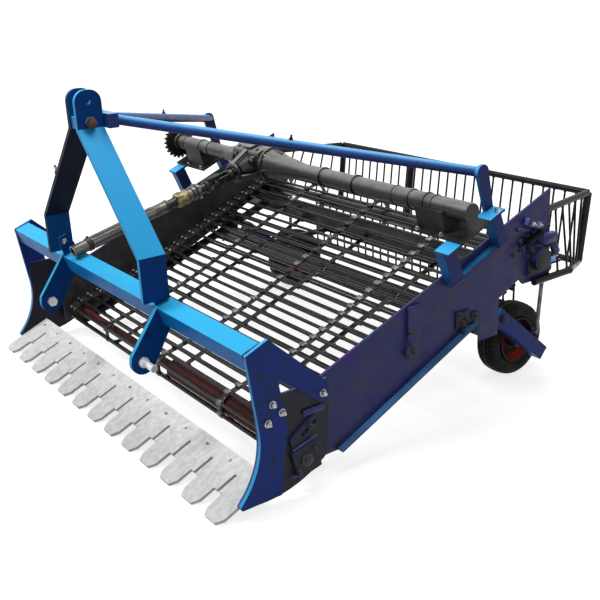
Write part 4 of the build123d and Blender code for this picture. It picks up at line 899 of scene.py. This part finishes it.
# Gearbox: breather, filler boss, drain plug, cover ribs and seams, and the tubes' ribs
cast = Shape()
rows = ((0, 9), (7, 9), (7.5, 8), (10, 7.5), (11, 4))
cast.lathe(box_point(-6, -26, 60), DRIVE_UP, rows, 14)
rows = ((0, 22), (8, 20), (9, 15), (16, 14), (18, 10), (18.5, 1))
cast.lathe(box_point(44, -50, 26), DRIVE, rows, 20)
rows = ((0, 15), (5, 14), (6, 9), (11, 8.5), (12, 1))
cast.lathe(box_point(-40, -50, -18), DRIVE, rows, 6)
for dx in (-84, 84):
    cast.block(box_point(dx, 8, 0), -DRIVE, DRIVE_UP, (112, 126, 5), 2)
for n in (-34, 34):
    cast.block(box_point(0, -51.5, n), ACROSS, DRIVE_UP, (168, 7, 7), 2)
for x in (-148, -126, -104):
    top = SHAFT_Z + 53 - (x + 148) * 0.12
    cast.block((x, SHAFT_Y, top), ACROSS, REARWARD, (16, 7, 13), 2)
# Ribs along the cones: x and radius where they start and end
RIB_COUNT, RIB_HEIGHT, RIB_WIDTH = 6, 9, 5
for (start_x, start_r), (end_x, end_r) in (((-160, 58), (-96, 46)), ((-360, 58), (-424, 38))):
    for i in range(RIB_COUNT):
        a = TURN * (i + 0.25) / RIB_COUNT
        radial = Vector((0, math.cos(a), math.sin(a)))
        start = Vector((start_x, SHAFT_Y, SHAFT_Z)) + radial * (start_r - 3)
        end = Vector((end_x, SHAFT_Y, SHAFT_Z)) + radial * (end_r - 6)
        width = radial.cross(Vector(ACROSS)) * RIB_WIDTH
        outline = [point - width / 2 for point in (start, start + radial * RIB_HEIGHT, end)]
        cast.plate(outline, width, 0.6)
for x, r in ((720, 30), (540, 30), (-690, 30), (-810, 30)):
    rows = ((0, r - 1), (1.5, r + 2.2), (3.5, r + 2.4), (5, r - 1))
    cast.lathe((x - 2, SHAFT_Y, SHAFT_Z), ACROSS, rows, 28, capped=False)
for x in (-650, 650):
    for dx in (-34, 34):
        rows = ((-4, 29.5), (-4, 33.4), (4, 33.4), (4, 29.5))
        cast.lathe((x + dx, SHAFT_Y, SHAFT_Z), ACROSS, rows, 28, capped=False)
cast.piece("gearbox_details", CAST, slot="black_paint")

# Clamps of the rear housing's tensioner, then the ridge above the slotted lug, a strip that shows
# the lug's lit upper end as a painted highlight, and the rim of the bearing box. Rows of centre,
# the direction of the length in the side view, size, bevel
BRACKET_BLOCKS = (
    ((811, 424, 607), (0.94, -0.34), (74, 26, 22), 3),
    ((806, 385, 592), (0.98, -0.15), (54, 12, 12), 3),
    ((806, 380, 540), (0.45, -0.89), (52, 11, 12), 3),
    ((806, 449, 571), (0.88, 0.47), (30, 16, 12), 3),
    ((815, 500, 545), (1, 0), (70, 34, 30), 5),
    ((812, 536, 506), (0.5, -0.86), (62, 26, 24), 5),
    ((843.5, -521, 256), (1, 0), (72, 17, 11), 3),
    ((850.5, -562, 167.5), (0.966, 0.26), (88, 5, 7), 1.2),
    ((850.5, -594, 72), (0.99, -0.12), (36, 5, 7), 1.2),
)
COIL_STEP, COIL_RADIUS, COIL_WAVE = 1.4, 10.5, 2.5
brackets, coils = Shape(), Shape()
for side, sign in SIDES:
    for (x, y, z), (c, d), block_size, bevel in BRACKET_BLOCKS:
        brackets.block((sign * x, y, z), (0, c, d), (0, -d, c), block_size, bevel)
    rows = [(i * COIL_STEP, COIL_RADIUS + COIL_WAVE * math.sin(i * 1.25)) for i in range(60)]
    coils.lathe((sign * 817, 384, 545), (0, 0.94, 0.34), rows, 12)
    coils.bar((sign * 817, 350, 531), (sign * 817, 500, 588), 5, 10)
brackets.piece("tension_brackets", BRACKET, slot="blue_paint")
coils.piece("tension_springs", BLACK, slot="dark_steel")

# Small clamp plates by the ears of the wheel beam, and the discs of the rear housings
plates = Shape()
for side, sign in SIDES:
    plates.block((sign * 804, 112, 350), REARWARD, UPWARD, (62, 58, 8), 2)
    plates.block((sign * 804, 166, 337), REARWARD, UPWARD, (34, 52, 8), 2)
    plates.bar((sign * 812, 108, 322), (sign * 812, 108, 296), 4.5, 10)
    plates.bar((sign * 812, 168, 312), (sign * 812, 168, 288), 4.5, 10)
    disc_rows = ((0, 30), (1.5, 30), (2.5, 24), (3, 0.5))
    plates.lathe((sign * 832, *DRUM), (sign, 0, 0), disc_rows, 24)
plates.piece("clamp_plates", PLATE, slot="black_paint")

# A bolt on each brace, and the nuts of the mast's worn pin
MAST_PIN = (-738, 1003)
BRACE_START, BRACE_END, BRACE_RADIUS = (38, -655, 1003), (800, 176, 816), 15
bolts = Shape()
for side, sign in SIDES:
    start, end = (Vector((sign * x, y, z)) for x, y, z in (BRACE_START, BRACE_END))
    run = (end - start).normalized()
    up_way = (Vector(UPWARD) - run * run.z).normalized()
    bolts.bolt(start + (end - start) * 0.485 + up_way * BRACE_RADIUS, up_way, 6.5, 9)
bolts.piece("brace_bolts", BLACK, slot="dark_steel")
# Washer, nut and end of the pin: x, rows, sides and turn
PIN_PARTS = (
    (45.5, ((0, 17.5), (1.6, 17.5), (2, 16)), 20, 0),
    (47.5, ((0, 14), (8, 14), (9.5, 11.5)), 6, 0.4),
    (57, ((0, 8), (3, 8), (4, 7)), 14, 0),
)
pin = Shape()
for sign in (-1, 1):
    for x, rows, sides, turn in PIN_PARTS:
        pin.lathe((sign * x, *MAST_PIN), (sign, 0, 0), rows, sides, turn=turn)
pin.piece("mast_pin_nuts", RUST, slot="dark_steel")

# Plugs of the blade's bolts: one behind every second tooth, and a close pair behind the others
TOOTH_COUNT, TOOTH_SPAN, PLUG_LINE = 13, 1574.0, 172
plugs = Shape()
blade_up = Vector((0, -math.sin(SHARE_SLOPE), math.cos(SHARE_SLOPE)))
line_y = SHARE_TIP_Y + PLUG_LINE * math.cos(SHARE_SLOPE)
line_z = PLUG_LINE * math.sin(SHARE_SLOPE)
for i in range(TOOTH_COUNT):
    x = (i - TOOTH_COUNT // 2) * TOOTH_SPAN / (TOOTH_COUNT - 1)
    for dx in (0,) if i % 2 else (-3, 3):
        seat = Vector((x + dx, line_y, line_z)) + blade_up * 9.7
        plugs.lathe(seat, blade_up, ((0, 5.4), (0.5, 5.0), (0.6, 3.0), (0.2, 2.4)), 14)
plugs.piece("blade_plugs", BLACK, slot="dark_steel")

# Welds: crossbeam ends, foot lugs, hitch brackets, hoops, ledges, gussets and grid arms
BEAM_HALF = 31
weld = Shape()


def run_bead(x, first, last, radius):
    """A bead along the side view, at an x, between two pairs of y and z."""
    weld.bead((x, *first), (x, *last), radius)


def cross_bead(first_x, last_x, point, radius):
    """A bead across the machine at a pair of y and z."""
    weld.bead((first_x, *point), (last_x, *point), radius)


for side, sign in SIDES:
    corners = [beam_point(s * BEAM_HALF, n * BEAM_HALF)
               for s, n in ((-1, -1), (1, -1), (1, 1), (-1, 1))]
    for first, last in zip(corners, corners[1:] + corners[:1]):
        run_bead(sign * 837, first, last, 3.2)
    for s in (-BEAM_HALF, BEAM_HALF):
        cross_bead(sign * 338, sign * 354, beam_point(s, BEAM_HALF), 3)
        cross_bead(sign * 352, sign * 368, beam_point(s, -BEAM_HALF), 3)
    for x in (352, 368):
        run_bead(sign * x, beam_point(-28, -BEAM_HALF), beam_point(28, -BEAM_HALF), 3)
    for s, depth in ((-122, 50), (98, 40)):
        for n in (-199.5, -82):
            run_bead(sign * 838.5, deck(s, n), deck(s + depth, n), 2.6)
            cross_bead(sign * 802, sign * 838, deck(s, n), 2.6)
    run_bead(sign * 801, deck(-118, -208), deck(134, -208), 2.8)
    run_bead(sign * 812.5, deck(103, -73.5), deck(137, -73.5), 2.6)
    for z in (GRID_LOW, GRID_TOP):
        cross_bead(sign * 510, sign * 532, (GRID_Y - 4, z - 6), 2.4)
weld.piece("weld_beads", WELD, slot="blue_paint")


# Floor: a pale ground that keeps the shadow, and white where the camera or a reflection sees it
def stage_share(tree):
    """1 for rays that see the background directly, in gloss or through glass."""
    rays = tree.nodes.new("ShaderNodeLightPath").outputs
    seen = combine(tree, "MAXIMUM", rays["Is Camera Ray"], rays["Is Glossy Ray"])
    return combine(tree, "MAXIMUM", seen, rays["Is Transmission Ray"])


FLOOR_HALF = 40.0
# Metres from the middle over which the floor's own light rises to full, and its first value
GLOW_START, GLOW_END, GLOW_LOW = 1.2, 3.5, 0.78
corners = [(x * FLOOR_HALF, y * FLOOR_HALF, 0) for x, y in ((-1, -1), (1, -1), (1, 1), (-1, 1))]
floor_mesh = bpy.data.meshes.new("floor")
floor_mesh.from_pydata(corners, [], [(0, 1, 2, 3)])
floor = bpy.data.objects.new("floor", floor_mesh)
bpy.context.scene.collection.objects.link(floor)
floor_mat, tree, bsdf = new_material("floor")
bsdf.inputs["Base Color"].default_value = (0.36, 0.36, 0.36, 1)
bsdf.inputs["Roughness"].default_value = 0.95
bsdf.inputs["Specular IOR Level"].default_value = 0.1
coords = tree.nodes.new("ShaderNodeTexCoord")
distance = add_node(tree, "ShaderNodeVectorMath", operation="LENGTH")
tree.links.new(coords.outputs["Object"], distance.inputs[0])
far = remap(tree, distance.outputs["Value"], GLOW_START, GLOW_END, GLOW_LOW, 1.0)
glow = add_node(tree, "ShaderNodeEmission", Color=(1, 1, 1, 1))
tree.links.new(combine(tree, "MULTIPLY", stage_share(tree), far), glow.inputs["Strength"])
add = tree.nodes.new("ShaderNodeAddShader")
tree.links.new(bsdf.outputs[0], add.inputs[0])
tree.links.new(glow.outputs[0], add.inputs[1])
tree.links.new(add.outputs[0], tree.nodes["Material Output"].inputs["Surface"])
floor.data.materials.append(floor_mat)

# Studio: white to the eye, and a weaker light on the machine
STUDIO_LIGHT = 0.34
world = bpy.data.worlds.new("studio")
bpy.context.scene.world = world
world.use_nodes = True
tree = world.node_tree
background = tree.nodes["Background"]
background.inputs["Color"].default_value = (1, 1, 1, 1)
brightness = remap(tree, stage_share(tree), 0.0, 1.0, STUDIO_LIGHT, 1.0)
tree.links.new(brightness, background.inputs["Strength"])


# Lamps
def area_light(name, place, target_z, power, size):
    """A square lamp that looks at a height over the floor's middle."""
    data = bpy.data.lights.new(name, "AREA")
    data.energy = power
    data.size = size
    lamp = bpy.data.objects.new(name, data)
    lamp.location = place
    look = Vector((0, 0, target_z)) - Vector(place)
    lamp.rotation_euler = look.to_track_quat("-Z", "Y").to_euler()
    bpy.context.scene.collection.objects.link(lamp)


area_light("key", (-1.6, -2.8, 4.2), 0.3, 150, 1.4)
area_light("top", (0.2, 0.5, 4.6), 0.3, 150, 2.2)
area_light("fill", (3.6, -1.6, 1.8), 0.4, 16, 2.5)

# Camera, fitted to the photograph: focal length and centre in its pixels, metres and degrees
PICTURE, FOCAL, CENTRE_X, CENTRE_Y = 600, 898.877, 295.09, 310.94
EYE = (2.66958, -1.86600, 1.42366)
YAW, PITCH, ROLL = 54.654, 20.916, -2.543
SENSOR = 36.0
camera_data = bpy.data.cameras.new("camera")
camera_data.lens = SENSOR * FOCAL / PICTURE
camera_data.sensor_width = SENSOR
camera_data.sensor_fit = "HORIZONTAL"
camera_data.shift_x = (PICTURE / 2 - CENTRE_X) / PICTURE
camera_data.shift_y = (CENTRE_Y - PICTURE / 2) / PICTURE
camera_data.clip_start = 0.05
camera_data.clip_end = 200
camera = bpy.data.objects.new("camera", camera_data)
bpy.context.scene.collection.objects.link(camera)
yaw, pitch, roll = (math.radians(a) for a in (YAW, PITCH, ROLL))
ahead = Vector((-math.sin(yaw) * math.cos(pitch), math.cos(yaw) * math.cos(pitch),
                -math.sin(pitch)))
flat = Vector((math.cos(yaw), math.sin(yaw), 0))
lift = flat.cross(ahead)
right = math.cos(roll) * flat + math.sin(roll) * lift
up = -math.sin(roll) * flat + math.cos(roll) * lift
place = Vector((EYE[0] + MOVE_X / 1000, EYE[1] + MOVE_Y / 1000, EYE[2]))
turn = Matrix((right, up, -ahead)).transposed().to_4x4()
camera.matrix_world = Matrix.Translation(place) @ turn
bpy.context.scene.camera = camera
bpy.context.scene.view_settings.view_transform = "Standard"
